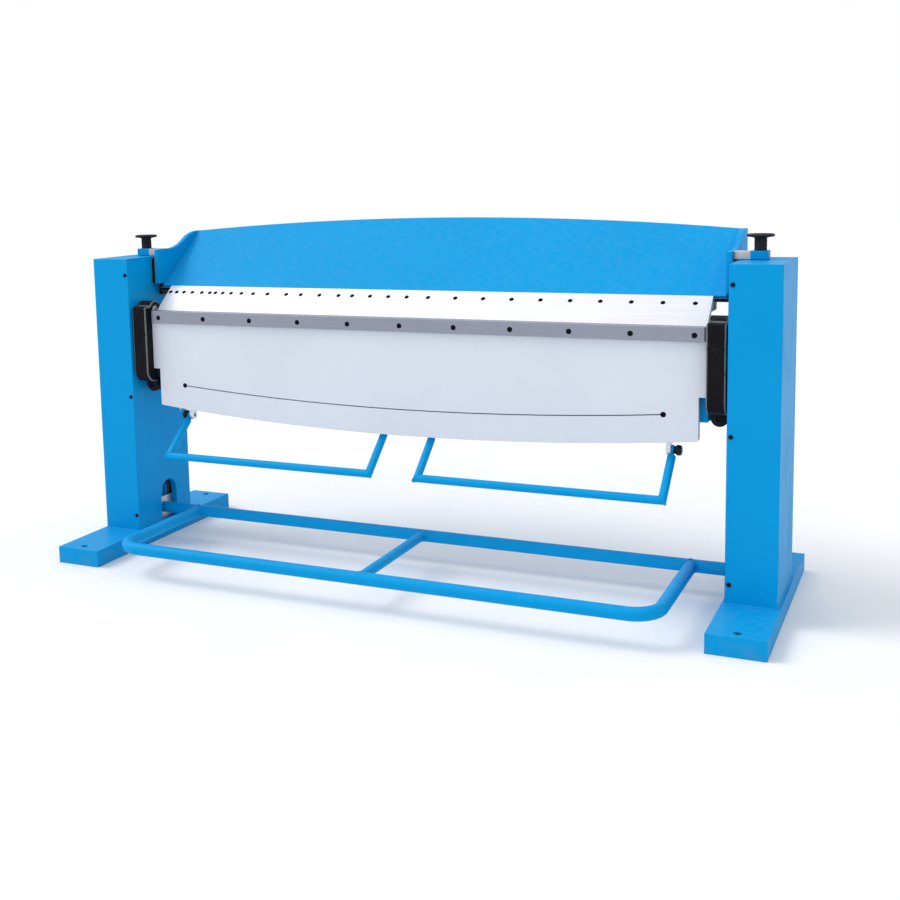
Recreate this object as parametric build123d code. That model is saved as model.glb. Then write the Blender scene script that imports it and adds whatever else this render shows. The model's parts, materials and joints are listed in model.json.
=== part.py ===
from build123d import *
import os
from math import asin, cos, degrees, radians, sin

# Manual folding machine: a swinging apron, a lifting clamping beam and a foot pedal between two columns.
# X runs along the machine, Y from the operator to the back, Z up from the floor. Millimetres and degrees.

# ---- Overall sizes ----
work_length = 2020.0        # bending bar, clamping tool and lower blade
side_room = 74.0            # end of the working length to the column's inner face
overall_depth = 936.0       # front of the foot pedal to the back of the feet
bend_y = -64.0              # bend line, which is the apron's swing axis
bend_z = 899.0

# ---- Clearances ----
swing_gap = 0.4             # apron and bending bar to the swing axis plane
slide_gap = 1.0             # flat faces that pass each other
stop_gap = 0.5              # faces that meet when a part is on its stop
run_gap = 0.05              # radial, a pin or shaft that turns in its bore
link_gap = 1.5              # radial, at the loose eyes of the push rods

# ---- Columns and feet ----
column_width = 155.0
column_depth = 336.0
column_height = 1093.0
column_front_y = -135.0
side_plate_t = 24.0
cover_t = 3.0
foot_width = 175.0
foot_length = 872.0
foot_height = 60.0
foot_wall = 8.0
anchor_r = 12.0
anchor_inset = 38.0         # anchor hole to the foot's end
cover_screw_r = 4.0
cover_screw_head_r = 7.5
cover_screw_head_h = 4.0
cover_screw_length = 20.0
cover_screw_end_gap = 61.0  # outermost cover screws to the column's top and to the foot
shelf_t = 15.0              # load pad under the column's top
shelf_width = 67.0
shelf_back = 42.0           # the shelf's back edge behind the adjuster

# ---- Lower beam ----
lower_beam_depth = 118.0
lower_beam_wall = 15.0
lower_beam_bottom_z = 600.0
lower_beam_set_back = 6.0   # behind the swing axis
lower_beam_overhang = 5.0   # past each end of the blade
blade_depth = 124.0
blade_t = 20.0
clamp_gap = 0.9             # sheet gap left between the tool's nose and the blade
end_block_gap = 5.0         # behind the hinge hub
end_block_top_z = 860.0
beam_bolt_r = 8.0
beam_bolt_head_r = 13.0
beam_bolt_head_h = 10.0
beam_bolt_grip = 30.0       # thread in the end block
beam_bolt_inset_y = 20.0
beam_bolt_inset_z = 35.0

# ---- Apron ----
apron_overhang = 9.0        # past each end of the bending bar
apron_t = 23.5
notch_z = 682.0
notch_width = 27.0
apron_corner_z = 545.0
apron_sag = 50.0            # how far the bottom edge bows below its corners
apron_corner_r = 8.0
slit_inset = 126.0          # slit's end to the bending bar's end
slit_end_z = 623.0
slit_sag = 38.0
slit_width = 3.5
slit_hole_r = 9.0
bar_depth = 38.0
bar_height = 45.5
bar_lip_t = 14.0            # the bar's upper lip, over the apron's top edge
bar_screw_count = 11
bar_screw_inset = 30.0
bar_screw_drop = 25.0
bar_screw_r = 5.0
bar_screw_head_r = 9.0
bar_screw_head_h = 8.0
bar_screw_length = 28.0
stiffener_size = 40.0
stiffener_wall = 4.0
stiffener_inset = 60.0      # stiffener's end to the bending bar's end
stiffener_z = 550.0

# ---- Apron hinges ----
hub_r = 34.0
arm_outer_gap = 6.0         # hinge arm to the column's inner face
arm_front_y = -127.0
arm_top_rise = 16.0         # the arm's flat top above the swing axis
arm_bottom_z = 632.0
arm_corner_r = 45.0
hinge_pin_r = 15.0
bush_wall = 4.0
buffer_r = 27.0
buffer_z = 615.0
buffer_screw_r = 5.0
buffer_screw_length = 15.0
buffer_edge_r = 6.0
arm_edge_r = 6.0

# ---- Upper clamping beam ----
lift_travel = 60.0
panel_overhang = 40.0       # past each end of the tool
panel_t = 10.0
panel_set_up = 0.6          # from the tool's top edge to the panel's lower edge
panel_angle = 37.5          # from the horizontal
panel_length = 324.0        # up the slope at the ends
panel_arch = 68.0           # extra length at mid-span
tool_angle = 40.3
tool_length = 129.0         # up the slope, nose to top edge
tool_t = 20.0
carrier_start = 55.0        # up the tool's back face
carrier_depth = 86.0
carrier_top_up = 60.0       # up the panel's underside
end_plate_t = 18.0
end_plate_front_y = 15.0
end_plate_back_y = 312.0
end_plate_bottom_z = 990.0
end_plate_low_rise = 27.0   # low level top edge above the column
end_plate_high_rise = 86.0
end_plate_flat = 75.0       # length of the low level top edge
end_plate_rise = 205.0      # length of the S-shaped stretch
beam_back_t = 8.0
beam_back_y = 282.0
rib_t = 10.0
rib_count = 5
rib_inset = 210.0           # outermost rib to the panel's end
guide_y = 58.0
guide_depth = 50.0
guide_bottom_z = 945.0
front_guide_depth = 9.0
shoe_height = 28.0          # slide shoe under each end plate

# The tool's short segments from left to right: width, screws, screw pitch.
# One long segment fills the rest of the working length.
short_segments = [
    (25, 1, 0), (30, 1, 0), (35, 1, 0), (40, 1, 0), (45, 1, 0), (50, 2, 25),
    (75, 2, 36), (100, 2, 50), (150, 2, 78), (200, 3, 76), (270, 4, 70),
]
long_segment_pitch = 100.0
segment_gap = 0.2
segment_screw_r = 4.0
segment_screw_head_r = 8.0
segment_screw_head_h = 7.0
segment_screw_length = 34.0
segment_screw_up = 96.0     # up the tool's slope

# ---- Height adjusters on the columns ----
adjuster_y = 71.0
adjuster_out = 59.5         # from the column's inner face
lug_width = 50.0
lug_t = 26.0
sleeve_size = 52.0
sleeve_height = 27.0
spindle_r = 10.0
wheel_hub_r = 19.0
wheel_hub_h = 42.0
wheel_r = 42.0
wheel_t = 9.0

# ---- Handles under the apron ----
handle_tube_r = 13.45
handle_tube_wall = 2.6
handle_inset = 107.0        # handle's outer tube to the bending bar's end
handle_inner_x = 90.0
handle_pivot_y = -30.0
handle_pivot_z = 502.0
handle_reach = 195.0
handle_tilt = 49.8          # forward of straight down
eye_r = 15.0
eye_t = 8.0
tongue_width = 22.0
tongue_length = 60.0
tube_start = 26.0           # from the pivot to the tube's open end
bracket_t = 15.0
bracket_width = 30.0
knob_screw_r = 6.0
knob_r = 17.0
knob_length = 23.0

# ---- Foot pedal and lifting linkage ----
pedal_tube_r = 21.2
pedal_tube_wall = 3.2
cross_tube_r = 16.85
cross_tube_wall = 2.6
pedal_inset = 139.0         # pedal's side tube to the column's inner face
pedal_bend_r = 85.0
pedal_pivot_y = 60.0
pedal_pivot_z = 105.0
pedal_travel = 9.0
arch_r = 50.0
arch_top_z = 218.0
bearing_t = 10.0
bearing_top_z = 148.0
bearing_lap = 18.0          # past the arch in the side plate
torsion_stub = 4.0          # of the torsion tube past the lever
lever_t = 12.0
lever_hub_r = 34.0
lever_head_r = 38.0
lever_head_z = 168.0
lever_slot_width = 12.0
lever_slot_y = 12.0         # from the lever's middle
lever_slot_up = 14.0        # from the torsion tube
lever_arm = 80.0
lever_root_half = 30.0
link_boss_r = 14.0
link_pin_r = 8.0
link_pin_proud = 2.0
rod_width = 34.0
rod_t = 12.0
rocker_pivot_z = 480.0
rocker_arm = 127.0
rocker_t = 12.0
rocker_width = 26.0
rocker_pivot_end = 6.0       # of the pivot past the rocker
rocker_pivot_inset = 2.0
rocker_hub_r = 18.0
roller_r = 16.0
lift_bar_t = 10.0
lift_bar_width = 44.0
lift_bar_lap = 5.0          # metal round and past the lift pin
lift_arm_width = 30.0
lift_arm_t = 12.0
lift_pin_r = 12.0
lift_pin_cover = 4.0        # end plate left in front of the pin's blind bore
lift_pin_z = 1010.0
lift_arm_z = 700.0
strut_out = 106.0           # from the column's inner face
strut_r = 14.0
strut_wall = 2.0
strut_top_z = 400.0
strut_rod_r = 5.0
strut_end_wall = 10.0
strut_rod_reach = 150.0     # of the rod inside the cylinder

# ---- Places worked out from the sizes above ----
work_half = work_length / 2
inner_x = work_half + side_room
outer_x = inner_x + column_width
plate_out_x = inner_x + side_plate_t
column_mid_x = inner_x + column_width / 2
column_back_y = column_front_y + column_depth
foot_back_y = overall_depth / 2
foot_front_y = foot_back_y - foot_length
apron_back_y = bend_y - swing_gap
apron_front_y = apron_back_y - apron_t
apron_half = work_half + apron_overhang
slit_half = work_half - slit_inset
stiffener_half = work_half - stiffener_inset
apron_top_z = bend_z - bar_lip_t
bar_front_y = apron_back_y - bar_depth
blade_top_z = bend_z - stop_gap - clamp_gap
blade_front_y = bend_y + swing_gap / 2
lower_beam_front_y = bend_y + lower_beam_set_back
lower_beam_top_z = blade_top_z - blade_t
end_block_front_y = bend_y + hub_r + end_block_gap
end_block_back_y = lower_beam_front_y + lower_beam_depth
lower_beam_half = work_half + lower_beam_overhang
arm_out_x = inner_x - arm_outer_gap
nose_y = bend_y + swing_gap / 2
nose_z = bend_z - stop_gap
panel_half = work_half + panel_overhang
end_plate_out_x = panel_half + end_plate_t
end_plate_low_z = column_height + end_plate_low_rise
end_plate_high_z = column_height + end_plate_high_rise
rib_pitch = 2 * (panel_half - rib_inset) / (rib_count - 1)
long_segment = work_length - sum(width for width, _, _ in short_segments)
long_segment_screws = int(long_segment / long_segment_pitch)
segments = short_segments + [(long_segment, long_segment_screws, long_segment_pitch)]
handle_outer_x = work_half - handle_inset
pedal_arm_x = inner_x - pedal_inset
strut_x = inner_x + strut_out
adjuster_x = inner_x + adjuster_out
sleeve_bottom_z = column_height + slide_gap
pedal_front_y = pedal_tube_r - overall_depth / 2
half_pedal = pedal_travel / 2
rocker_half = degrees(asin(lift_travel / 2 / rocker_arm))
rocker_short = lever_arm * sin(radians(half_pedal)) / sin(radians(rocker_half))
rod_y = pedal_pivot_y + lever_arm
rocker_pivot_y = rod_y + rocker_short
lift_y = rocker_pivot_y - rocker_arm
lift_bar_x = plate_out_x + slide_gap
rocker_x = lift_bar_x + lift_bar_t + slide_gap
rod_x0 = rocker_x + rocker_t + slide_gap
roller_top_z = rocker_pivot_z - lift_travel / 2 + roller_r


def along(point, angle, up, inward):
    """A point up a slope from the given one, and then down into the material square to it."""
    turn = radians(angle)
    y = point[0] + up * cos(turn) + inward * sin(turn)
    z = point[1] + up * sin(turn) - inward * cos(turn)
    return (y, z)


tool_nose = (nose_y, nose_z)
tool_top = along(tool_nose, tool_angle, tool_length, 0.0)
panel_foot = along(tool_top, panel_angle, panel_set_up, 0.0)


def block(x0, x1, y0, y1, z0, z1):
    middle = Pos((x0 + x1) / 2, (y0 + y1) / 2, (z0 + z1) / 2)
    return middle * Box(abs(x1 - x0), abs(y1 - y0), abs(z1 - z0))


def rod_along_x(radius, x0, x1, y, z):
    return Pos((x0 + x1) / 2, y, z) * Rot(0, 90, 0) * Cylinder(radius, abs(x1 - x0))


def rod_along_y(radius, y0, y1, x, z):
    return Pos(x, (y0 + y1) / 2, z) * Rot(90, 0, 0) * Cylinder(radius, abs(y1 - y0))


def rod_along_z(radius, z0, z1, x, y):
    return Pos(x, y, (z0 + z1) / 2) * Cylinder(radius, abs(z1 - z0))


def side_view(x):
    """A plane square to X whose local axes are Y and Z."""
    return Plane(origin=(x, 0, 0), x_dir=(0, 1, 0), z_dir=(1, 0, 0))


def front_view(y):
    """A plane square to Y whose local axes are X and Z."""
    return Plane(origin=(0, y, 0), x_dir=(1, 0, 0), z_dir=(0, -1, 0))


def side_prism(points, x0, x1):
    outline = make_face(Polyline(*points, close=True))
    return extrude(side_view(x0) * outline, amount=x1 - x0)


def slot_along_z(x0, x1, y, z0, z1, radius):
    """A round-ended slot through X whose end centres are at z0 and z1."""
    straight = block(x0, x1, y - radius, y + radius, z0, z1)
    return straight + rod_along_x(radius, x0, x1, y, z0) + rod_along_x(radius, x0, x1, y, z1)


def both_sides(part):
    return [part, mirror(part, about=Plane.YZ)]


def save(name, *shapes):
    solids = [solid for shape in shapes for solid in shape.solids()]
    whole = solids[0] if len(solids) == 1 else Compound(children=solids)
    export_step(whole, f"parts/{name}.step")


def save_pair(name, right):
    save(f"{name}_right", right)
    save(f"{name}_left", mirror(right, about=Plane.YZ))


# ---- Feet and columns ----
def make_foot():
    x0 = column_mid_x - foot_width / 2
    x1 = column_mid_x + foot_width / 2
    body = block(x0, x1, foot_front_y, foot_back_y, 0, foot_height)
    hollow = block(x0 + foot_wall, x1 - foot_wall, foot_front_y + foot_wall, foot_back_y - foot_wall,
                   foot_wall, foot_height - foot_wall)
    body = body - hollow
    for y in (foot_front_y + anchor_inset, foot_back_y - anchor_inset):
        body = body - rod_along_z(anchor_r, -1, foot_height + 1, column_mid_x, y)
    return body


def cover_screw_heights():
    low = foot_height + cover_screw_end_gap
    high = column_height - cover_screw_end_gap
    return (low, (low + high) / 2, high)


def cover_screw(z, front):
    """A button-head screw through the cover into the side plate's edge."""
    face = column_front_y if front else column_back_y
    inward = 1 if front else -1
    x = inner_x + side_plate_t / 2
    shank = rod_along_y(cover_screw_r, face, face + inward * cover_screw_length, x, z)
    head = rod_along_y(cover_screw_head_r, face - inward * cover_screw_head_h, face, x, z)
    outer = head.faces().sort_by(Axis.Y)[0 if front else -1]
    return shank + fillet(outer.edges(), cover_screw_head_h * 0.6)


def cover_screw_holes():
    x = inner_x + side_plate_t / 2
    holes = []
    for z in cover_screw_heights():
        front_y = column_front_y + cover_screw_length
        back_y = column_back_y - cover_screw_length
        holes.append(rod_along_y(cover_screw_r, column_front_y - 1, front_y, x, z))
        holes.append(rod_along_y(cover_screw_r, back_y, column_back_y + 1, x, z))
    return holes


def make_side_plate():
    front_y = column_front_y + cover_t
    back_y = column_back_y - cover_t
    top_z = column_height - cover_t
    plate = block(inner_x, plate_out_x, front_y, back_y, foot_height, top_z)
    shelf_front_y = lift_y + lift_bar_width / 2 + slide_gap * 2
    shelf = block(plate_out_x, plate_out_x + shelf_width, shelf_front_y, adjuster_y + shelf_back,
                  top_z - shelf_t, top_z)
    plate = plate + shelf
    x0 = inner_x - 1
    x1 = plate_out_x + 1
    plate = plate - slot_along_z(x0, x1, pedal_pivot_y, foot_height - arch_r, arch_top_z - arch_r, arch_r)
    slot_r = lift_pin_r + slide_gap * 2
    plate = plate - slot_along_z(x0, x1, lift_y, lift_pin_z, lift_pin_z + lift_travel, slot_r)
    plate = plate - rod_along_x(hinge_pin_r + bush_wall, x0, x1, bend_y, bend_z)
    plate = plate - rod_along_x(link_pin_r, x0, x1, rocker_pivot_y, rocker_pivot_z)
    for y, z in beam_bolt_places():
        plate = plate - rod_along_x(beam_bolt_r, x0, x1, y, z)
        plate = plate - rod_along_x(beam_bolt_head_r, plate_out_x - beam_bolt_head_h, x1, y, z)
    for hole in cover_screw_holes():
        plate = plate - hole
    return plate


def make_cover():
    shell = block(inner_x, outer_x, column_front_y, column_back_y, foot_height, column_height)
    room = block(inner_x - 1, outer_x - cover_t, column_front_y + cover_t, column_back_y - cover_t,
                 foot_height - 1, column_height - cover_t)
    shell = shell - room
    for hole in cover_screw_holes():
        shell = shell - hole
    return shell


def make_cover_screws():
    screws = []
    for z in cover_screw_heights():
        screws += both_sides(cover_screw(z, True))
        screws += both_sides(cover_screw(z, False))
    return screws


# ---- Lower beam ----
def beam_bolt_places():
    ys = (end_block_front_y + beam_bolt_inset_y, end_block_back_y - beam_bolt_inset_y)
    low_z = lower_beam_bottom_z + beam_bolt_inset_z
    high_z = end_block_top_z - beam_bolt_inset_z
    zs = (low_z, (low_z + high_z) / 2, high_z)
    return [(y, z) for y in ys for z in zs]


def make_lower_beam():
    y0 = lower_beam_front_y
    y1 = lower_beam_front_y + lower_beam_depth
    z0 = lower_beam_bottom_z
    z1 = lower_beam_top_z
    wall = lower_beam_wall
    beam = block(-lower_beam_half, lower_beam_half, y0, y1, z0, z1)
    half = lower_beam_half - wall
    return beam - block(-half, half, y0 + wall, y1 - wall, z0 + wall, z1 - wall)


def make_end_block():
    piece = block(lower_beam_half, inner_x, end_block_front_y, end_block_back_y,
                  lower_beam_bottom_z, end_block_top_z)
    for y, z in beam_bolt_places():
        piece = piece - rod_along_x(beam_bolt_r, inner_x - beam_bolt_grip, inner_x + 1, y, z)
    hole_end_y = end_block_front_y + buffer_screw_length
    return piece - rod_along_y(buffer_screw_r, end_block_front_y - 1, hole_end_y, buffer_x(), buffer_z)


def make_blade():
    return block(-work_half, work_half, blade_front_y, blade_front_y + blade_depth,
                 lower_beam_top_z, blade_top_z)


def make_beam_bolts():
    bolts = []
    for y, z in beam_bolt_places():
        shank = rod_along_x(beam_bolt_r, inner_x - beam_bolt_grip, plate_out_x, y, z)
        head = rod_along_x(beam_bolt_head_r, plate_out_x - beam_bolt_head_h, plate_out_x, y, z)
        bolts += both_sides(shank + head)
    return bolts


def make_guide_rail():
    return block(end_plate_out_x + slide_gap, inner_x, guide_y, guide_y + guide_depth,
                 guide_bottom_z, column_height - cover_t)


def make_front_guide():
    y0 = end_plate_front_y + slide_gap
    return block(end_plate_out_x + slide_gap, inner_x, y0, y0 + front_guide_depth,
                 end_plate_bottom_z, column_height - cover_t)


# ---- Apron and its hinges ----
def arc_band(half, end_z, sag, width):
    """A curved slot in the front view, bowed down between its two ends."""
    upper = ThreePointArc((-half, end_z + width / 2), (0, end_z - sag + width / 2), (half, end_z + width / 2))
    lower = ThreePointArc((half, end_z - width / 2), (0, end_z - sag - width / 2), (-half, end_z - width / 2))
    left = Line((-half, end_z - width / 2), (-half, end_z + width / 2))
    right = Line((half, end_z + width / 2), (half, end_z - width / 2))
    return make_face([upper, right, lower, left])


def bar_screw_xs():
    pitch = (work_length - 2 * bar_screw_inset) / (bar_screw_count - 1)
    return [-work_half + bar_screw_inset + pitch * i for i in range(bar_screw_count)]


def make_apron():
    low_half = apron_half - notch_width
    top = Polyline((-low_half, apron_corner_z), (-low_half, notch_z), (-apron_half, notch_z),
                   (-apron_half, apron_top_z), (apron_half, apron_top_z), (apron_half, notch_z),
                   (low_half, notch_z), (low_half, apron_corner_z))
    bottom = ThreePointArc((low_half, apron_corner_z), (0, apron_corner_z - apron_sag),
                           (-low_half, apron_corner_z))
    plate = extrude(front_view(apron_front_y) * make_face([top, bottom]), amount=-apron_t)
    slit = extrude(front_view(apron_front_y - 1) * arc_band(slit_half, slit_end_z, slit_sag, slit_width),
                   amount=-apron_t - 2)
    plate = plate - slit
    for x in (-slit_half, slit_half):
        plate = plate - rod_along_y(slit_hole_r, apron_front_y - 1, apron_back_y + 1, x, slit_end_z)
    upright = plate.edges().filter_by(Axis.Y)
    corners = upright.filter_by_position(Axis.Z, apron_corner_z - 1, apron_corner_z + 1)
    plate = fillet(corners, apron_corner_r)
    for x in bar_screw_xs():
        plate = plate - rod_along_y(bar_screw_r, bar_front_y, bar_front_y + bar_screw_length, x,
                                    bend_z - bar_screw_drop)
    return plate


def make_bending_bar():
    lip_bottom_z = bend_z - bar_lip_t
    bottom_z = bend_z - bar_height
    outline = [(bar_front_y, bend_z), (apron_back_y, bend_z), (apron_back_y, lip_bottom_z),
               (apron_front_y, lip_bottom_z), (apron_front_y, bottom_z), (bar_front_y, bottom_z)]
    bar = side_prism(outline, -work_half, work_half)
    for x in bar_screw_xs():
        z = bend_z - bar_screw_drop
        bar = bar - rod_along_y(bar_screw_r, bar_front_y - 1, apron_front_y + 1, x, z)
        bar = bar - rod_along_y(bar_screw_head_r, bar_front_y - 1, bar_front_y + bar_screw_head_h + 1, x, z)
    return bar


def socket_screw(radius, length, head_r, head_h):
    """A socket-head screw pointing up Z, with its head's top face at Z = 0 and its tip at -length."""
    shank = Pos(0, 0, -length / 2) * Cylinder(radius, length)
    head = Pos(0, 0, -head_h / 2) * Cylinder(head_r, head_h)
    key = extrude(Plane.XY * RegularPolygon(head_r * 0.5, 6), amount=-head_h * 0.5)
    return (shank + head) - key


def make_bar_screws():
    screws = []
    for x in bar_screw_xs():
        place = Pos(x, bar_front_y + 1, bend_z - bar_screw_drop) * Rot(90, 0, 0)
        screw = socket_screw(bar_screw_r, bar_screw_length - 1, bar_screw_head_r, bar_screw_head_h)
        screws.append(place * screw)
    return screws


def make_stiffener():
    y0 = apron_back_y
    y1 = apron_back_y + stiffener_size
    z0 = stiffener_z
    z1 = stiffener_z + stiffener_size
    wall = stiffener_wall
    tube = block(-stiffener_half, stiffener_half, y0, y1, z0, z1)
    return tube - block(-stiffener_half - 1, stiffener_half + 1, y0 + wall, y1 - wall, z0 + wall, z1 - wall)


def make_hinge_arm():
    top_z = bend_z + arm_top_rise
    outline = [(arm_front_y, top_z), (bend_y, top_z), (bend_y, bend_z), (apron_back_y, bend_z),
               (apron_back_y, arm_bottom_z), (arm_front_y, arm_bottom_z)]
    arm = side_prism(outline, apron_half, arm_out_x)
    front_low = arm.edges().filter_by(Axis.X).filter_by_position(Axis.Z, arm_bottom_z - 1, arm_bottom_z + 1)
    arm = fillet(front_low.sort_by(Axis.Y)[0], arm_corner_r)
    front_high = arm.edges().filter_by(Axis.X).filter_by_position(Axis.Z, top_z - 1, top_z + 1)
    arm = fillet(front_high.sort_by(Axis.Y)[0], arm_edge_r)
    arm = arm + rod_along_x(hub_r, apron_half, arm_out_x, bend_y, bend_z)
    return arm - rod_along_x(hinge_pin_r, apron_half - 1, arm_out_x + 1, bend_y, bend_z)


def make_hinge_pin():
    return rod_along_x(hinge_pin_r, apron_half, plate_out_x - slide_gap, bend_y, bend_z)


def make_hinge_bush():
    bush = rod_along_x(hinge_pin_r + bush_wall, inner_x, plate_out_x, bend_y, bend_z)
    return bush - rod_along_x(hinge_pin_r + run_gap, inner_x - 1, plate_out_x + 1, bend_y, bend_z)


def buffer_x():
    return (apron_half + arm_out_x) / 2


def make_buffer():
    pad = rod_along_y(buffer_r, apron_back_y + stop_gap, end_block_front_y, buffer_x(), buffer_z)
    pad = fillet(pad.faces().sort_by(Axis.Y)[0].edges(), buffer_edge_r)
    screw_end_y = end_block_front_y + buffer_screw_length
    return pad + rod_along_y(buffer_screw_r, end_block_front_y, screw_end_y, buffer_x(), buffer_z)


# ---- Upper clamping beam ----
def segment_edges():
    edges = [-work_half]
    for width, _, _ in segments:
        edges.append(edges[-1] + width)
    return edges


def segment_screw_xs(index):
    edges = segment_edges()
    _, count, pitch = segments[index]
    middle = (edges[index] + edges[index + 1]) / 2
    return [middle + (i - (count - 1) / 2) * pitch for i in range(count)]


def all_segment_screw_xs():
    return [x for index in range(len(segments)) for x in segment_screw_xs(index)]


def on_tool_face(x, shape):
    """Places a shape whose Z axis is to stand square out of the tool's sloping face."""
    y, z = along(tool_nose, tool_angle, segment_screw_up, 0.0)
    return Pos(x, y, z) * Rot(tool_angle, 0, 0) * shape


def make_segment(index):
    edges = segment_edges()
    x0 = edges[index] + segment_gap / 2
    x1 = edges[index + 1] - segment_gap / 2
    heel_y = tool_nose[0] + tool_t / sin(radians(tool_angle))
    outline = [tool_nose, tool_top, along(tool_top, tool_angle, 0.0, tool_t), (heel_y, tool_nose[1])]
    piece = side_prism(outline, x0, x1)
    for x in segment_screw_xs(index):
        piece = piece - on_tool_face(x, Cylinder(segment_screw_r, 3 * tool_t))
        piece = piece - on_tool_face(x, Cylinder(segment_screw_head_r, 2 * segment_screw_head_h + 2))
    return piece


def make_segment_screws():
    screw = socket_screw(segment_screw_r, segment_screw_length, segment_screw_head_r, segment_screw_head_h)
    return [on_tool_face(x, Pos(0, 0, -1) * screw) for x in all_segment_screw_xs()]


def make_carrier():
    """The bar behind the tool: its sloping faces carry the segments and the panel."""
    heel = (tool_nose[0] + tool_t / sin(radians(tool_angle)), tool_nose[1])
    low = along(heel, tool_angle, carrier_start, 0.0)
    shoulder = along(tool_top, tool_angle, 0.0, tool_t)
    step = along(panel_foot, panel_angle, 0.0, panel_t)
    high = along(panel_foot, panel_angle, carrier_top_up, panel_t)
    back_y = low[0] + carrier_depth
    bar = side_prism([low, shoulder, step, high, (back_y, high[1]), (back_y, low[1])], -work_half, work_half)
    for x in all_segment_screw_xs():
        bar = bar - on_tool_face(x, Pos(0, 0, -segment_screw_length / 2 - 1) * Cylinder(
            segment_screw_r, segment_screw_length))
    return bar


def make_panel():
    turn = radians(panel_angle)
    up = (0, -sin(turn), cos(turn))
    slope = Plane(origin=(0, panel_foot[0], panel_foot[1]), x_dir=(1, 0, 0), z_dir=up)
    left = (-panel_half, panel_length)
    right = (panel_half, panel_length)
    sides = Polyline(left, (-panel_half, 0), (panel_half, 0), right)
    arch = ThreePointArc(right, (0, panel_length + panel_arch), left)
    return extrude(slope * make_face([sides, arch]), amount=-panel_t)


def make_end_plate():
    y0 = end_plate_front_y
    y1 = y0 + end_plate_flat
    y2 = y1 + end_plate_rise
    low = end_plate_low_z
    high = end_plate_high_z
    middle = ((y1 + y2) / 2, (low + high) / 2)
    lower_curve = TangentArc((y1, low), middle, tangent=(1, 0))
    upper_curve = TangentArc((y2, high), middle, tangent=(-1, 0))
    rest = Polyline((y2, high), (end_plate_back_y, high), (end_plate_back_y, end_plate_bottom_z),
                    (y0, end_plate_bottom_z), (y0, low), (y1, low))
    plate = extrude(side_view(panel_half) * make_face([lower_curve, upper_curve, rest]), amount=end_plate_t)
    x0 = panel_half + lift_pin_cover
    return plate - rod_along_x(lift_pin_r, x0, end_plate_out_x + 1, lift_y, lift_pin_z)


def panel_inside(up):
    return along(panel_foot, panel_angle, up, panel_t)


def beam_floor_z():
    return end_plate_bottom_z


def carrier_back_y():
    heel = (tool_nose[0] + tool_t / sin(radians(tool_angle)), tool_nose[1])
    return along(heel, tool_angle, carrier_start, 0.0)[0] + carrier_depth


def make_beam_back():
    """A folded plate that closes the beam behind and below: a floor and an upright wall."""
    slope = sin(radians(panel_angle)) / cos(radians(panel_angle))
    inside = panel_inside(0.0)
    y1 = beam_back_y
    y0 = carrier_back_y()
    z0 = beam_floor_z()
    t = beam_back_t
    top_out = inside[1] + (y1 - inside[0]) * slope
    top_in = inside[1] + (y1 - t - inside[0]) * slope
    return side_prism([(y0, z0), (y1, z0), (y1, top_out), (y1 - t, top_in), (y1 - t, z0 + t), (y0, z0 + t)],
                      -panel_half, panel_half)


def make_ribs():
    slope = sin(radians(panel_angle)) / cos(radians(panel_angle))
    inside = panel_inside(0.0)
    z0 = beam_floor_z() + beam_back_t
    y0 = carrier_back_y()
    y1 = beam_back_y - beam_back_t
    outline = [(y0, z0), (y1, z0), (y1, inside[1] + (y1 - inside[0]) * slope),
               (y0, inside[1] + (y0 - inside[0]) * slope)]
    first = -rib_pitch * (rib_count - 1) / 2
    return [side_prism(outline, first + i * rib_pitch - rib_t / 2, first + i * rib_pitch + rib_t / 2)
            for i in range(rib_count)]


def make_slide_shoe():
    """The dark block under an end plate, which also backs the lower corner of the panel."""
    low_z = end_plate_bottom_z - shoe_height
    x0 = work_half + slide_gap
    front_y, front_z = panel_inside(0.0)
    back_y, back_z = panel_inside(panel_length)
    shoe = block(x0, end_plate_out_x, front_y, carrier_back_y(), low_z, end_plate_bottom_z)
    above = [(front_y, front_z), (back_y, back_z), (front_y, back_z)]
    return shoe - side_prism(above, x0 - 1, end_plate_out_x + 1)


def make_lug():
    return block(end_plate_out_x, adjuster_x - sleeve_size / 2, adjuster_y - lug_width / 2,
                 adjuster_y + lug_width / 2, sleeve_bottom_z, sleeve_bottom_z + lug_t)


def make_sleeve():
    half = sleeve_size / 2
    body = block(adjuster_x - half, adjuster_x + half, adjuster_y - half, adjuster_y + half,
                 sleeve_bottom_z, sleeve_bottom_z + sleeve_height)
    return body - rod_along_z(spindle_r + run_gap, sleeve_bottom_z - 1, sleeve_bottom_z + sleeve_height + 1,
                              adjuster_x, adjuster_y)


def make_handwheel():
    hub_z = sleeve_bottom_z + sleeve_height + stop_gap
    wheel_z = hub_z + wheel_hub_h
    spindle = rod_along_z(spindle_r, column_height + stop_gap, hub_z, adjuster_x, adjuster_y)
    hub = rod_along_z(wheel_hub_r, hub_z, wheel_z, adjuster_x, adjuster_y)
    disc = rod_along_z(wheel_r, wheel_z, wheel_z + wheel_t, adjuster_x, adjuster_y)
    disc = fillet(disc.edges(), wheel_t * 0.35)
    return spindle + hub + disc


# ---- Handles under the apron ----
def down_the_leg(distance):
    """A point on the handle's leg, as Y and Z, that far from the pivot."""
    turn = radians(handle_tilt)
    return (handle_pivot_y - distance * sin(turn), handle_pivot_z - distance * cos(turn))


def handle_tube(radius):
    """The U-shaped tube, which starts a little below each pivot."""
    y0, z0 = down_the_leg(tube_start)
    y1, z1 = down_the_leg(handle_reach)
    path = Polyline((handle_inner_x, y0, z0), (handle_inner_x, y1, z1),
                    (handle_outer_x, y1, z1), (handle_outer_x, y0, z0))
    first = Plane(origin=path @ 0, z_dir=path % 0)
    return sweep(first * Circle(radius), path=path, transition=Transition.RIGHT)


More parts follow.
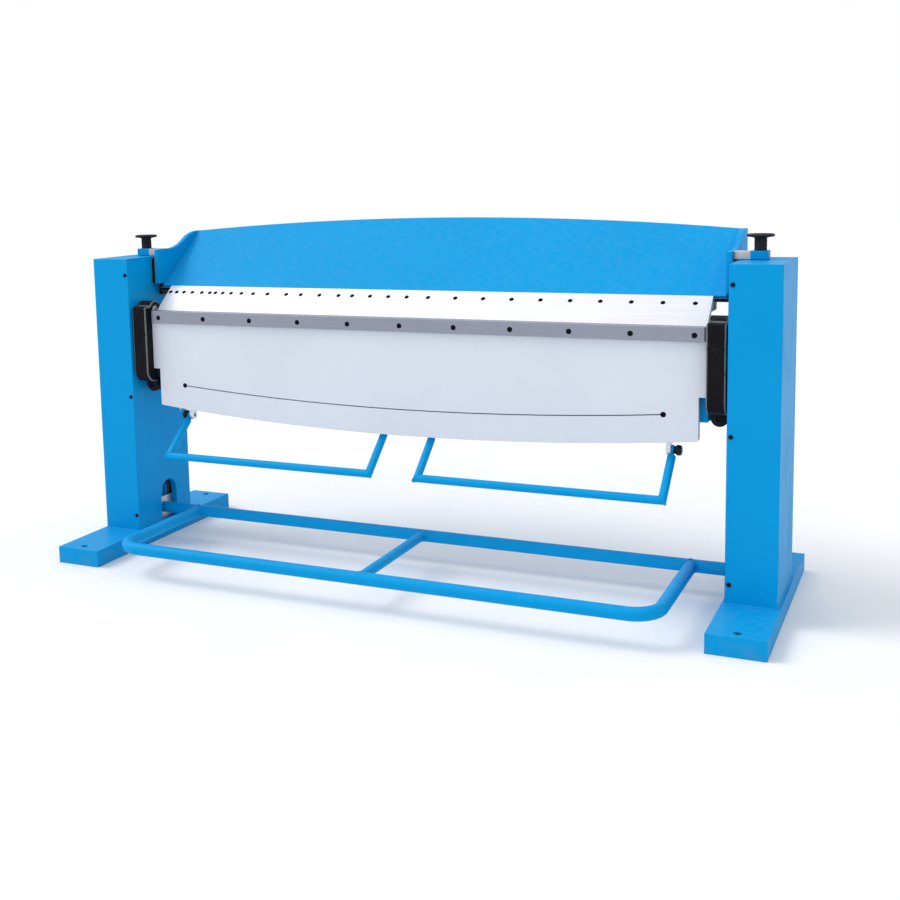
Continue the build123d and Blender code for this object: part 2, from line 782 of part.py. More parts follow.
def handle_tongue(x):
    """The flat eye that is pressed into the tube's end and turns on the clamping screw."""
    y, z = down_the_leg(tongue_length / 2)
    strap = Pos(x, y, z) * Rot(-handle_tilt, 0, 0) * Box(eye_t, tongue_width, tongue_length)
    return strap + rod_along_x(eye_r, x - eye_t / 2, x + eye_t / 2, handle_pivot_y, handle_pivot_z)


def make_handle():
    handle = handle_tube(handle_tube_r) - handle_tube(handle_tube_r - handle_tube_wall)
    for x in (handle_inner_x, handle_outer_x):
        handle = handle + handle_tongue(x)
        handle = handle - rod_along_x(knob_screw_r + run_gap, x - eye_t, x + eye_t,
                                      handle_pivot_y, handle_pivot_z)
    return handle


def make_bracket(x0, x1):
    half = bracket_width / 2
    piece = block(x0, x1, handle_pivot_y - half, handle_pivot_y + half, handle_pivot_z - half, stiffener_z)
    low = piece.edges().filter_by(Axis.X).filter_by_position(Axis.Z, handle_pivot_z - half - 1,
                                                            handle_pivot_z - half + 1)
    return fillet(low, half * 0.6)


def make_brackets():
    outer_face = handle_outer_x - eye_t / 2 - stop_gap
    outer = make_bracket(outer_face - bracket_t, outer_face)
    bore = (knob_screw_r, outer_face - bracket_t, outer_face + 1, handle_pivot_y, handle_pivot_z)
    outer = outer - rod_along_x(*bore)
    inner_face = handle_inner_x + eye_t / 2 + stop_gap
    inner = make_bracket(inner_face, inner_face + bracket_t)
    inner = inner + rod_along_x(knob_screw_r, handle_inner_x - eye_t / 2 - 2, inner_face,
                                handle_pivot_y, handle_pivot_z)
    return both_sides(outer) + both_sides(inner)


def make_clamp_knob():
    face = handle_outer_x + eye_t / 2 + stop_gap
    screw = rod_along_x(knob_screw_r, handle_outer_x - eye_t / 2 - stop_gap - bracket_t + 2, face,
                        handle_pivot_y, handle_pivot_z)
    head = rod_along_x(knob_r, face, face + knob_length, handle_pivot_y, handle_pivot_z)
    return screw + fillet(head.edges(), 3.0)


# ---- Foot pedal and lifting linkage ----
def pedal_u_tube(radius):
    end_y = pedal_pivot_y - pedal_tube_r * 0.6
    path = FilletPolyline((-pedal_arm_x, end_y, pedal_pivot_z), (-pedal_arm_x, pedal_front_y, pedal_pivot_z),
                          (pedal_arm_x, pedal_front_y, pedal_pivot_z), (pedal_arm_x, end_y, pedal_pivot_z),
                          radius=pedal_bend_r)
    first = Plane(origin=path @ 0, z_dir=path % 0)
    return sweep(first * Circle(radius), path=path)


def make_pedal_frame():
    outer = pedal_u_tube(pedal_tube_r)
    inner = pedal_u_tube(pedal_tube_r - pedal_tube_wall)
    cross = rod_along_y(cross_tube_r, pedal_front_y, pedal_pivot_y, 0, pedal_pivot_z)
    cross_hollow = rod_along_y(cross_tube_r - cross_tube_wall, pedal_front_y, pedal_pivot_y, 0, pedal_pivot_z)
    frame = (outer + (cross - cross_hollow)) - inner
    return frame - rod_along_x(pedal_tube_r, -inner_x, inner_x, pedal_pivot_y, pedal_pivot_z)


def torsion_half():
    return rocker_x + lever_t + torsion_stub


def make_torsion_tube():
    tube = rod_along_x(pedal_tube_r, -torsion_half(), torsion_half(), pedal_pivot_y, pedal_pivot_z)
    return tube - rod_along_x(pedal_tube_r - pedal_tube_wall, -torsion_half() - 1, torsion_half() + 1,
                              pedal_pivot_y, pedal_pivot_z)


def lever_pin_place():
    turn = radians(half_pedal)
    return (pedal_pivot_y + lever_arm * cos(turn), pedal_pivot_z - lever_arm * sin(turn))


def make_lever():
    """A plate on the torsion tube's end: a slotted head, and an arm back to the push rod."""
    x0 = rocker_x
    x1 = rocker_x + lever_t
    pin_y, pin_z = lever_pin_place()
    plate = rod_along_x(lever_hub_r, x0, x1, pedal_pivot_y, pedal_pivot_z)
    plate = plate + rod_along_x(lever_head_r, x0, x1, pedal_pivot_y, lever_head_z)
    plate = plate + block(x0, x1, pedal_pivot_y - lever_hub_r, pedal_pivot_y + lever_hub_r,
                          pedal_pivot_z, lever_head_z)
    arm = side_prism([(pedal_pivot_y, pedal_pivot_z + lever_root_half), (pin_y, pin_z + link_boss_r),
                      (pin_y, pin_z - link_boss_r), (pedal_pivot_y, pedal_pivot_z - lever_root_half)], x0, x1)
    plate = plate + arm + rod_along_x(link_boss_r, x0, x1, pin_y, pin_z)
    slot_y0 = pedal_pivot_y + lever_slot_y
    slot_z0 = pedal_pivot_z + pedal_tube_r + lever_slot_up
    slot_z1 = lever_head_z + lever_head_r
    plate = plate - block(x0 - 1, x1 + 1, slot_y0, slot_y0 + lever_slot_width, slot_z0, slot_z1)
    plate = plate - rod_along_x(pedal_tube_r, x0 - 1, x1 + 1, pedal_pivot_y, pedal_pivot_z)
    return plate + rod_along_x(link_pin_r, x1, rod_x0 + rod_t + link_pin_proud, pin_y, pin_z)


def make_bearing():
    half = arch_r + bearing_lap
    plate = block(plate_out_x, plate_out_x + bearing_t, pedal_pivot_y - half, pedal_pivot_y + half,
                  foot_height, bearing_top_z)
    return plate - rod_along_x(pedal_tube_r + run_gap, plate_out_x - 1, plate_out_x + bearing_t + 1,
                               pedal_pivot_y, pedal_pivot_z)


def rocker_point(reach):
    turn = radians(rocker_half)
    return (rocker_pivot_y - reach * cos(turn), rocker_pivot_z - reach * sin(turn))


def make_rocker():
    x0 = rocker_x
    x1 = rocker_x + rocker_t
    tip_y, tip_z = rocker_point(rocker_arm)
    short_y, short_z = rocker_point(rocker_short)
    middle = Pos((x0 + x1) / 2, (tip_y + rocker_pivot_y) / 2, (tip_z + rocker_pivot_z) / 2)
    arm = middle * Rot(rocker_half, 0, 0) * Box(rocker_t, rocker_arm, rocker_width)
    arm = arm + rod_along_x(rocker_width / 2, x0, x1, tip_y, tip_z)
    arm = arm + rod_along_x(rocker_hub_r, x0, x1, rocker_pivot_y, rocker_pivot_z)
    arm = arm + rod_along_x(link_pin_r, x1, rod_x0 + rod_t + link_pin_proud, short_y, short_z)
    arm = arm - rod_along_x(link_pin_r + run_gap, x0 - 1, x1 + 1, rocker_pivot_y, rocker_pivot_z)
    return arm + rod_along_x(roller_r, lift_bar_x, x0, tip_y, tip_z)


def make_rocker_pivot():
    x0 = inner_x + rocker_pivot_inset
    x1 = rocker_x + rocker_t + rocker_pivot_end
    return rod_along_x(link_pin_r, x0, x1, rocker_pivot_y, rocker_pivot_z)


def make_push_rod():
    x0 = rod_x0
    x1 = rod_x0 + rod_t
    low_z = lever_pin_place()[1]
    high_z = rocker_point(rocker_short)[1]
    rod = block(x0, x1, rod_y - rod_width / 2, rod_y + rod_width / 2, low_z, high_z)
    for z in (low_z, high_z):
        rod = rod + rod_along_x(rod_width / 2, x0, x1, rod_y, z)
    for z in (low_z, high_z):
        rod = rod - rod_along_x(link_pin_r + link_gap, x0 - 1, x1 + 1, rod_y, z)
    return rod


def make_lift_bar():
    """A flat bar hung on the lift pin, with a foot over the rocker's roller and an arm over the strut."""
    x0 = lift_bar_x
    x1 = lift_bar_x + lift_bar_t
    y0 = lift_y - lift_bar_width / 2
    y1 = lift_y + lift_bar_width / 2
    bar = block(x0, x1, y0, y1, roller_top_z + stop_gap, lift_pin_z + lift_pin_r + lift_bar_lap)
    arm_y0 = lift_y - lift_arm_width / 2
    arm_y1 = lift_y + lift_arm_width / 2
    arm = block(x1, strut_x + strut_r, arm_y0, arm_y1, lift_arm_z, lift_arm_z + lift_arm_t)
    return (bar + arm) - rod_along_x(lift_pin_r, x0 - 1, x1 + 1, lift_y, lift_pin_z)


def make_lift_pin():
    x0 = panel_half + lift_pin_cover
    return rod_along_x(lift_pin_r, x0, lift_bar_x + lift_bar_t + lift_bar_lap, lift_y, lift_pin_z)


def make_strut_cylinder():
    tube = rod_along_z(strut_r, foot_height, strut_top_z, strut_x, lift_y)
    bore_top_z = strut_top_z - strut_end_wall
    tube = tube - rod_along_z(strut_r - strut_wall, foot_height + strut_end_wall, bore_top_z, strut_x, lift_y)
    return tube - rod_along_z(strut_rod_r + run_gap, bore_top_z - 1, strut_top_z + 1, strut_x, lift_y)


def make_strut_rod():
    rod_end_z = strut_top_z - strut_rod_reach
    rod = rod_along_z(strut_rod_r, rod_end_z, lift_arm_z, strut_x, lift_y)
    piston_r = strut_r - strut_wall - slide_gap
    return rod + rod_along_z(piston_r, rod_end_z - strut_end_wall, rod_end_z, strut_x, lift_y)


def main():
    os.makedirs("parts", exist_ok=True)
    save("feet", *both_sides(make_foot()))
    save_pair("side_plate", make_side_plate())
    save_pair("column_cover", make_cover())
    save("cover_screws", *make_cover_screws())
    save("lower_beam", make_lower_beam())
    save("beam_end_blocks", *both_sides(make_end_block()))
    save("lower_blade", make_blade())
    save("beam_bolts", *make_beam_bolts())
    save("guide_rails", *both_sides(make_guide_rail()), *both_sides(make_front_guide()))
    save("hinge_bushes", *both_sides(make_hinge_bush()))
    save("rest_buffers", *both_sides(make_buffer()))
    save("apron", make_apron())
    save("bending_bar", make_bending_bar())
    save("bar_screws", *make_bar_screws())
    save("apron_stiffener", make_stiffener())
    save_pair("hinge_arm", make_hinge_arm())
    save("hinge_pins", *both_sides(make_hinge_pin()))
    save("handle_brackets", *make_brackets())
    save("handle_right", make_handle())
    save("handle_left", Pos(-handle_inner_x - handle_outer_x, 0, 0) * make_handle())
    save_pair("clamp_knob", make_clamp_knob())
    save("beam_panel", make_panel())
    save("tool_carrier", make_carrier())
    save("beam_back", make_beam_back())
    save("beam_ribs", *make_ribs())
    save_pair("end_plate", make_end_plate())
    save("slide_shoes", *both_sides(make_slide_shoe()))
    save("adjuster_lugs", *both_sides(make_lug()))
    save("adjuster_sleeves", *both_sides(make_sleeve()))
    save_pair("handwheel", make_handwheel())
    for index in range(len(segments)):
        save(f"clamping_segment_{index + 1:02d}", make_segment(index))
    save("segment_screws", *make_segment_screws())
    save("lift_pins", *both_sides(make_lift_pin()))
    save("lift_bars", *both_sides(make_lift_bar()))
    save("strut_rods", *both_sides(make_strut_rod()))
    save("strut_cylinders", *both_sides(make_strut_cylinder()))
    save("rocker_pivots", *both_sides(make_rocker_pivot()))
    save("rockers", *both_sides(make_rocker()))
    save("push_rods", *both_sides(make_push_rod()))
    save("pedal_bearings", *both_sides(make_bearing()))
    save("pedal_frame", make_pedal_frame())
    save("torsion_tube", make_torsion_tube())
    save("pedal_levers", *both_sides(make_lever()))


main()
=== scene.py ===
import json
from math import cos, floor, pi, radians, sin

import bmesh
import bpy
from bpy.props import FloatProperty, FloatVectorProperty, PointerProperty
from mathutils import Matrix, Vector

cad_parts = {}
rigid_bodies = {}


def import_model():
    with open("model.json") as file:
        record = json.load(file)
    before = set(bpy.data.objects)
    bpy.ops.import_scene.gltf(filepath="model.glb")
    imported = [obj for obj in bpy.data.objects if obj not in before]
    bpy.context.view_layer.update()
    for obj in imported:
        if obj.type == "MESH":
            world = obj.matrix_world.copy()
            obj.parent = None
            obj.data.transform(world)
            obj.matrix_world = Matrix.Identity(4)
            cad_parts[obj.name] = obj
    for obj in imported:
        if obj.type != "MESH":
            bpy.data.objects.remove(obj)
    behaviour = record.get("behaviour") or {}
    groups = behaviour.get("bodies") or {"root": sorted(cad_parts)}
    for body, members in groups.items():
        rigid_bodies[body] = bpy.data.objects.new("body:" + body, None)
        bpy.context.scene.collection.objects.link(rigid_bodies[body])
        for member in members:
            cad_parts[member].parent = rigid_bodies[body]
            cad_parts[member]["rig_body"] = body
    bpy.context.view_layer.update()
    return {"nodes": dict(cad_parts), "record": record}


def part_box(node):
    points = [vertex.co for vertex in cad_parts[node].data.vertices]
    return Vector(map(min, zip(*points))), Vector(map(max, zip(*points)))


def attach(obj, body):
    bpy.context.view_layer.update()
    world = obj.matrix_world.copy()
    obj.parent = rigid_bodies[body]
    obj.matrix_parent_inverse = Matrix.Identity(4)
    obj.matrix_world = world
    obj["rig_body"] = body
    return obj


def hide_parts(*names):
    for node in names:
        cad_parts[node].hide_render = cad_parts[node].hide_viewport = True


# Looks of a hand-operated sheet-metal folding machine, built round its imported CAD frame.
# Metres; X runs along the machine, Y from the operator to the back, Z up from the floor.

bl_info = {
    "name": "Folding Machine Looks",
    "version": (1, 0, 0),
    "blender": (4, 5, 0),
    "location": "3D View > Sidebar > Folding Machine",
    "description": "Finished meshes, materials, lights and camera for a swing-apron folding machine",
    "category": "Object",
}

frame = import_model()

MERGE = 2e-6                 # corners of the CAD mesh closer than this are one corner
FLAT = radians(0.1)          # faces that turn less than this are one face
SHARP = radians(62)          # edges that turn more than this stay crisp in the shading
EDGE_TURN = radians(28)      # edges that turn more than this get rounded
SIDES = 36                   # round a turned part
BEAD_SIDES = 8               # round a weld bead
TOP_BAND = 0.0004            # corners this close to a screw's end belong to its head
X_AXIS = Vector((1, 0, 0))
Y_AXIS = Vector((0, 1, 0))
Z_AXIS = Vector((0, 0, 1))

KEY_DIRECTION = Vector((0.114, 0.030, -0.125))
FRONT_DIRECTION = Vector((0.28, 0.90, -0.30))
KEY_SPREAD = radians(32)
FRONT_SPREAD = radians(70)
SENSOR_WIDTH = 36.0          # millimetres

RUBBED_METAL = (0.42, 0.45, 0.48, 1.0)
PALE_DUST = (0.62, 0.62, 0.60, 1.0)
DARK_DIRT = (0.16, 0.17, 0.18, 1.0)
RUBBED_BLACK = (0.34, 0.35, 0.37, 1.0)
DUST_ON_BLACK = (0.46, 0.48, 0.52, 1.0)
ZINC_DARK = (0.56, 0.58, 0.62, 1.0)
ZINC_BRIGHT = (0.74, 0.76, 0.80, 1.0)
ZINC_EDGE = (0.85, 0.87, 0.90, 1.0)
FLOOR_SHADE = (0.86, 0.865, 0.87, 1.0)
FLOOR_LIGHT = (0.89, 0.89, 0.89, 1.0)
SKY_LOW = (0.92, 0.94, 0.97, 1.0)
SKY_HIGH = (1.12, 1.13, 1.15, 1.0)


# ---- Settings a user would change ----
class FoldingFinish(bpy.types.PropertyGroup):
    """Colours and surface quality of the painted and bare parts"""
    blue: FloatVectorProperty(
        name="Blue paint", description="Powder coat on columns, feet, beams and tubes",
        subtype="COLOR", size=3, min=0.0, max=1.0, default=(0.0, 0.300, 0.66))
    grey: FloatVectorProperty(
        name="Light grey paint", description="Satin paint on the apron",
        subtype="COLOR", size=3, min=0.0, max=1.0, default=(0.665, 0.71, 0.785))
    tool: FloatVectorProperty(
        name="Ground steel", description="Clamping tool and lower blade",
        subtype="COLOR", size=3, min=0.0, max=1.0, default=(0.80, 0.805, 0.83))
    bar: FloatVectorProperty(
        name="Bar steel", description="Bending bar along the apron's top edge",
        subtype="COLOR", size=3, min=0.0, max=1.0, default=(0.285, 0.305, 0.375))
    wear: FloatProperty(
        name="Edge wear", description="Share of the rounded edges that is rubbed thin",
        subtype="FACTOR", min=0.0, max=1.0, default=0.30)
    dust: FloatProperty(
        name="Dust", description="How much dust lies on faces that look up",
        subtype="FACTOR", min=0.0, max=1.0, default=0.035)
    peel: FloatProperty(
        name="Paint texture depth", description="Depth of the powder coat's fine ripple",
        unit="LENGTH", min=0.0, max=0.001, default=0.00006)
    casting: FloatProperty(
        name="Casting texture depth", description="Depth of the sand texture on the black castings",
        unit="LENGTH", min=0.0, max=0.002, default=0.0003)


class FoldingEdges(bpy.types.PropertyGroup):
    """Radii of edges, folds and weld beads"""
    fold: FloatProperty(
        name="Sheet fold", description="Outside radius of the folded column covers",
        unit="LENGTH", min=0.0, max=0.01, default=0.0028)
    plate: FloatProperty(
        name="Plate edge", description="Rounding of cut plate edges under paint",
        unit="LENGTH", min=0.0, max=0.01, default=0.0014)
    casting: FloatProperty(
        name="Casting edge", description="Rounding of the hinge castings",
        unit="LENGTH", min=0.0, max=0.01, default=0.0045)
    ground: FloatProperty(
        name="Ground edge", description="Chamfer on machined and ground parts",
        unit="LENGTH", min=0.0, max=0.01, default=0.0006)
    weld: FloatProperty(
        name="Weld bead", description="Radius of the weld beads",
        unit="LENGTH", min=0.0, max=0.01, default=0.0035)


class FoldingStage(bpy.types.PropertyGroup):
    """Floor, lights and camera"""
    camera_place: FloatVectorProperty(
        name="Camera place", description="Where the camera stands",
        subtype="XYZ", unit="LENGTH", size=3, default=(1.7008, -3.7919, 1.3569))
    camera_turn: FloatVectorProperty(
        name="Camera turn", description="The camera's rotation",
        subtype="EULER", unit="ROTATION", size=3,
        default=(radians(82.629), radians(1.294), radians(25.251)))
    lens: FloatProperty(
        name="Lens", description="Focal length in millimetres",
        min=10.0, max=300.0, default=48.755)
    shift: FloatVectorProperty(
        name="Lens shift", description="Shift of the picture, as a share of its width",
        size=2, default=(0.0722, -0.1236))
    floor_size: FloatProperty(
        name="Floor size", description="Side of the square floor",
        unit="LENGTH", min=1.0, max=200.0, default=60.0)
    ambient: FloatProperty(
        name="Ambient light", description="Strength of the light from all round",
        min=0.0, max=5.0, default=0.80)
    key: FloatProperty(
        name="Key light", description="Strength of the light from the upper left",
        min=0.0, max=20.0, default=1.45)
    fill: FloatProperty(
        name="Front light", description="Strength of the broad light from the front",
        min=0.0, max=20.0, default=0.2)


# ---- Shader nodes ----
class Wiring:
    """Adds nodes to one node tree and joins them."""

    def __init__(self, tree):
        self.tree = tree

    def feed(self, socket, value):
        if isinstance(value, bpy.types.NodeSocket):
            self.tree.links.new(value, socket)
        else:
            socket.default_value = value

    def add(self, kind, inputs=None, **settings):
        node = self.tree.nodes.new(kind)
        for key, value in settings.items():
            setattr(node, key, value)
        for socket, value in (inputs or {}).items():
            self.feed(node.inputs[socket], value)
        return node

    def math(self, operation, first, second=0.0):
        return self.add("ShaderNodeMath", {0: first, 1: second}, operation=operation).outputs[0]

    def ramp(self, value, low, high, to_low=0.0, to_high=1.0):
        """Maps low to high onto to_low to to_high with soft ends."""
        node = self.add("ShaderNodeMapRange", {0: value, 1: low, 2: high, 3: to_low, 4: to_high})
        node.interpolation_type = "SMOOTHSTEP"
        return node.outputs[0]

    def mix_colour(self, share, first, second):
        node = self.add("ShaderNodeMix", {0: share, 6: first, 7: second}, data_type="RGBA")
        return node.outputs[2]

    def mix_value(self, share, first, second):
        node = self.add("ShaderNodeMix", {0: share, 2: first, 3: second}, data_type="FLOAT")
        return node.outputs[0]

    def place(self):
        return self.add("ShaderNodeTexCoord").outputs["Object"]

    def noise(self, vector, scale, detail=2.0, roughness=0.5):
        node = self.add("ShaderNodeTexNoise", {
            "Vector": vector, "Scale": scale, "Detail": detail, "Roughness": roughness})
        return node.outputs[0]

    def group(self, tree, **values):
        node = self.add("ShaderNodeGroup", node_tree=tree)
        for name, value in values.items():
            self.feed(node.inputs[name], value)
        return node.outputs[0]


def opaque(colour, gain=1.0):
    return tuple(min(1.0, channel * gain) for channel in colour) + (1.0,)


def new_group(name, inputs, output):
    """An empty node group with named number inputs and one named output."""
    tree = bpy.data.node_groups.new(name, "ShaderNodeTree")
    for label, default in inputs.items():
        socket = tree.interface.new_socket(name=label, in_out="INPUT", socket_type="NodeSocketFloat")
        socket.default_value = default
    tree.interface.new_socket(name=output, in_out="OUTPUT", socket_type="NodeSocketFloat")
    wires = Wiring(tree)
    given = wires.add("NodeGroupInput").outputs
    result = wires.add("NodeGroupOutput").inputs[0]
    return tree, wires, given, result


def edge_wear_group():
    """Patches along rounded edges where the finish is rubbed thin."""
    tree, wires, given, result = new_group("edge_wear", {"Amount": 0.3, "Grain": 60.0}, "Mask")
    edge = wires.add("ShaderNodeAttribute", attribute_name="rounded_edge").outputs["Fac"]
    patches = wires.noise(wires.place(), given["Grain"], 4.0, 0.65)
    start = wires.math("SUBTRACT", 0.82, wires.math("MULTIPLY", given["Amount"], 0.6))
    rubbed = wires.ramp(patches, start, wires.math("ADD", start, 0.06))
    wires.feed(result, wires.math("MULTIPLY", edge, rubbed))
    return tree


def tone_group():
    """Broad cloudy change of tone over a surface."""
    tree, wires, given, result = new_group("tone", {"Scale": 3.0}, "Mask")
    broad = wires.noise(wires.place(), given["Scale"], 3.0, 0.55)
    wires.feed(result, wires.ramp(broad, 0.30, 0.70))
    return tree


def ripple_group():
    """The fine rounded ripple of powder coat."""
    tree, wires, given, result = new_group("powder_ripple", {"Scale": 320.0}, "Height")
    fine = wires.noise(wires.place(), given["Scale"], 1.0, 0.4)
    wide = wires.noise(wires.place(), wires.math("MULTIPLY", given["Scale"], 0.22), 1.0, 0.4)
    wires.feed(result, wires.mix_value(0.35, fine, wide))
    return tree


def smudge_group():
    """Hand smudges and wiped patches that change the gloss."""
    tree, wires, given, result = new_group("smudges", {"Scale": 7.0, "Amount": 0.5}, "Mask")
    stretched = wires.add("ShaderNodeMapping", {"Vector": wires.place(), "Scale": (1.0, 1.6, 0.7)})
    patch = wires.noise(stretched.outputs[0], given["Scale"], 6.0, 0.6)
    wires.feed(result, wires.math("MULTIPLY", wires.ramp(patch, 0.42, 0.68), given["Amount"]))
    return tree


def dust_group():
    """Settled dust on faces that look up."""
    tree, wires, given, result = new_group("dust", {"Amount": 0.1}, "Mask")
    normal = wires.add("ShaderNodeNewGeometry").outputs["Normal"]
    upward = wires.add("ShaderNodeSeparateXYZ", {0: normal}).outputs[2]
    speck = wires.ramp(wires.noise(wires.place(), 45.0, 5.0, 0.7), 0.35, 0.75)
    settled = wires.math("MULTIPLY", wires.ramp(upward, 0.35, 0.95), speck)
    wires.feed(result, wires.math("MULTIPLY", settled, given["Amount"]))
    return tree


def floor_dirt_group():
    """Shoe marks and floor dirt near the ground."""
    tree, wires, given, result = new_group("floor_dirt", {"Height": 0.08, "Amount": 0.4}, "Mask")
    up = wires.add("ShaderNodeSeparateXYZ", {0: wires.place()}).outputs[2]
    low = wires.math("SUBTRACT", 1.0, wires.ramp(up, 0.0, given["Height"]))
    patch = wires.ramp(wires.noise(wires.place(), 22.0, 5.0, 0.7), 0.40, 0.72)
    wires.feed(result, wires.math("MULTIPLY", wires.math("MULTIPLY", low, patch), given["Amount"]))
    return tree


def grinding_group():
    """Fine grinding lines that run along the machine."""
    tree, wires, given, result = new_group("grinding_lines", {"Fineness": 900.0, "Length": 3.0}, "Lines")
    scale = wires.add("ShaderNodeCombineXYZ", {
        0: given["Length"], 1: given["Fineness"], 2: given["Fineness"]}).outputs[0]
    drawn = wires.add("ShaderNodeVectorMath", {0: wires.place(), 1: scale}, operation="MULTIPLY")
    wires.feed(result, wires.noise(drawn.outputs[0], 1.0, 4.0, 0.65))
    return tree


def scratch_group():
    """Sparse hairline scratches."""
    tree, wires, given, result = new_group("hairlines", {"Scale": 9.0, "Amount": 0.5}, "Mask")
    turned = wires.add("ShaderNodeMapping", {
        "Vector": wires.place(), "Rotation": (0.5, 0.3, 0.9), "Scale": (0.5, 2.4, 1.0)})
    field = wires.noise(turned.outputs[0], given["Scale"], 1.5, 0.5)
    off = wires.math("ABSOLUTE", wires.math("SUBTRACT", field, 0.5))
    line = wires.ramp(off, 0.0, 0.0022, 1.0, 0.0)
    where = wires.ramp(wires.noise(wires.place(), 4.0, 2.0), 0.52, 0.66)
    wires.feed(result, wires.math("MULTIPLY", wires.math("MULTIPLY", line, where), given["Amount"]))
    return tree


def sand_group():
    """The pebbled skin of a sand casting or moulded plastic."""
    tree, wires, given, result = new_group("sand_skin", {"Scale": 400.0}, "Height")
    cells = wires.add("ShaderNodeTexVoronoi", {"Vector": wires.place(), "Scale": given["Scale"]},
                      feature="SMOOTH_F1").outputs["Distance"]
    rough = wires.noise(wires.place(), given["Scale"], 4.0, 0.6)
    wires.feed(result, wires.mix_value(0.5, cells, rough))
    return tree


GROUPS = {
    "edge_wear": edge_wear_group, "tone": tone_group, "powder_ripple": ripple_group,
    "smudges": smudge_group, "dust": dust_group, "floor_dirt": floor_dirt_group,
    "grinding_lines": grinding_group, "hairlines": scratch_group, "sand_skin": sand_group,
}


def effect(name):
    """A shared node group, built once."""
    return bpy.data.node_groups.get(name) or GROUPS[name]()


# ---- Materials ----
def new_material(name):
    material = bpy.data.materials.new(name)
    material.use_nodes = True
    material.node_tree.nodes.clear()
    wires = Wiring(material.node_tree)
    shader = wires.add("ShaderNodeBsdfPrincipled")
    wires.add("ShaderNodeOutputMaterial", {"Surface": shader.outputs[0]})
    return material, wires, shader


def bump(wires, shader, height, depth):
    node = wires.add("ShaderNodeBump", {"Height": height, "Distance": depth, "Strength": 1.0})
    wires.feed(shader.inputs["Normal"], node.outputs[0])


def finish_settings():
    return bpy.context.scene.folding_finish


def painted(name, colour, gloss):
    """Powder coat: tone drift, ripple, smudges, scratches, rubbed edges, dust and floor dirt."""
    settings = finish_settings()
    material, wires, shader = new_material(name)
    tone = wires.group(effect("tone"), Scale=2.6)
    body = wires.mix_colour(tone, opaque(colour, 0.975), opaque(colour, 1.015))
    wear = wires.group(effect("edge_wear"), Amount=settings.wear, Grain=70.0)
    body = wires.mix_colour(wires.math("MULTIPLY", wear, 0.55), body, RUBBED_METAL)
    lines = wires.group(effect("hairlines"), Scale=8.0, Amount=0.22)
    body = wires.mix_colour(lines, body, opaque(colour, 1.5))
    dust = wires.group(effect("dust"), Amount=settings.dust)
    body = wires.mix_colour(dust, body, PALE_DUST)
    dirt = wires.group(effect("floor_dirt"), Height=0.07, Amount=0.30)
    body = wires.mix_colour(dirt, body, DARK_DIRT)
    wires.feed(shader.inputs["Base Color"], body)
    smudge = wires.group(effect("smudges"), Scale=6.0, Amount=0.8)
    rough = wires.mix_value(smudge, gloss, gloss + 0.16)
    wires.feed(shader.inputs["Roughness"], wires.math("ADD", rough, wires.math("MULTIPLY", dust, 0.5)))
    wires.feed(shader.inputs["Metallic"], wires.math("MULTIPLY", wear, 0.35))
    ripple = wires.group(effect("powder_ripple"), Scale=300.0)
    height = wires.math("SUBTRACT", ripple, wires.math("MULTIPLY", lines, 0.6))
    bump(wires, shader, height, settings.peel)
    shader.inputs["Specular IOR Level"].default_value = 0.07
    return material


def blue_paint():
    return painted("blue_powder_coat", finish_settings().blue, 0.40)


def grey_paint():
    return painted("light_grey_paint", finish_settings().grey, 0.42)


def ground(name, colour, *, metallic, roughness, fineness, length):
    """Ground or machined steel: grinding lines, stains, handling marks and bright edges."""
    material, wires, shader = new_material(name)
    lines = wires.group(effect("grinding_lines"), Fineness=fineness, Length=length)
    body = wires.mix_colour(wires.ramp(lines, 0.3, 0.7), opaque(colour, 0.90), opaque(colour, 1.06))
    tone = wires.group(effect("tone"), Scale=5.0)
    body = wires.mix_colour(wires.math("MULTIPLY", tone, 0.35), body, opaque(colour, 0.88))
    wear = wires.group(effect("edge_wear"), Amount=0.9, Grain=120.0)
    body = wires.mix_colour(wires.math("MULTIPLY", wear, 0.6), body, opaque(colour, 1.35))
    wires.feed(shader.inputs["Base Color"], body)
    smudge = wires.group(effect("smudges"), Scale=9.0, Amount=0.9)
    rough = wires.mix_value(smudge, roughness, roughness + 0.13)
    streak = wires.math("MULTIPLY", wires.ramp(lines, 0.35, 0.65), 0.10)
    wires.feed(shader.inputs["Roughness"], wires.math("ADD", rough, streak))
    marks = wires.group(effect("hairlines"), Scale=14.0, Amount=0.5)
    bump(wires, shader, wires.math("SUBTRACT", lines, marks), 0.00004)
    shader.inputs["Metallic"].default_value = metallic
    return material


def ground_steel():
    return ground("ground_tool_steel", finish_settings().tool,
                  metallic=0.30, roughness=0.38, fineness=850.0, length=4.0)


def bar_steel():
    return ground("bending_bar_steel", finish_settings().bar,
                  metallic=0.55, roughness=0.36, fineness=700.0, length=2.5)


def bare_steel():
    return ground("machined_steel", (0.56, 0.57, 0.58),
                  metallic=0.85, roughness=0.34, fineness=500.0, length=200.0)


def hinge_bronze():
    return ground("hinge_bronze", (0.62, 0.42, 0.18),
                  metallic=0.9, roughness=0.30, fineness=300.0, length=300.0)


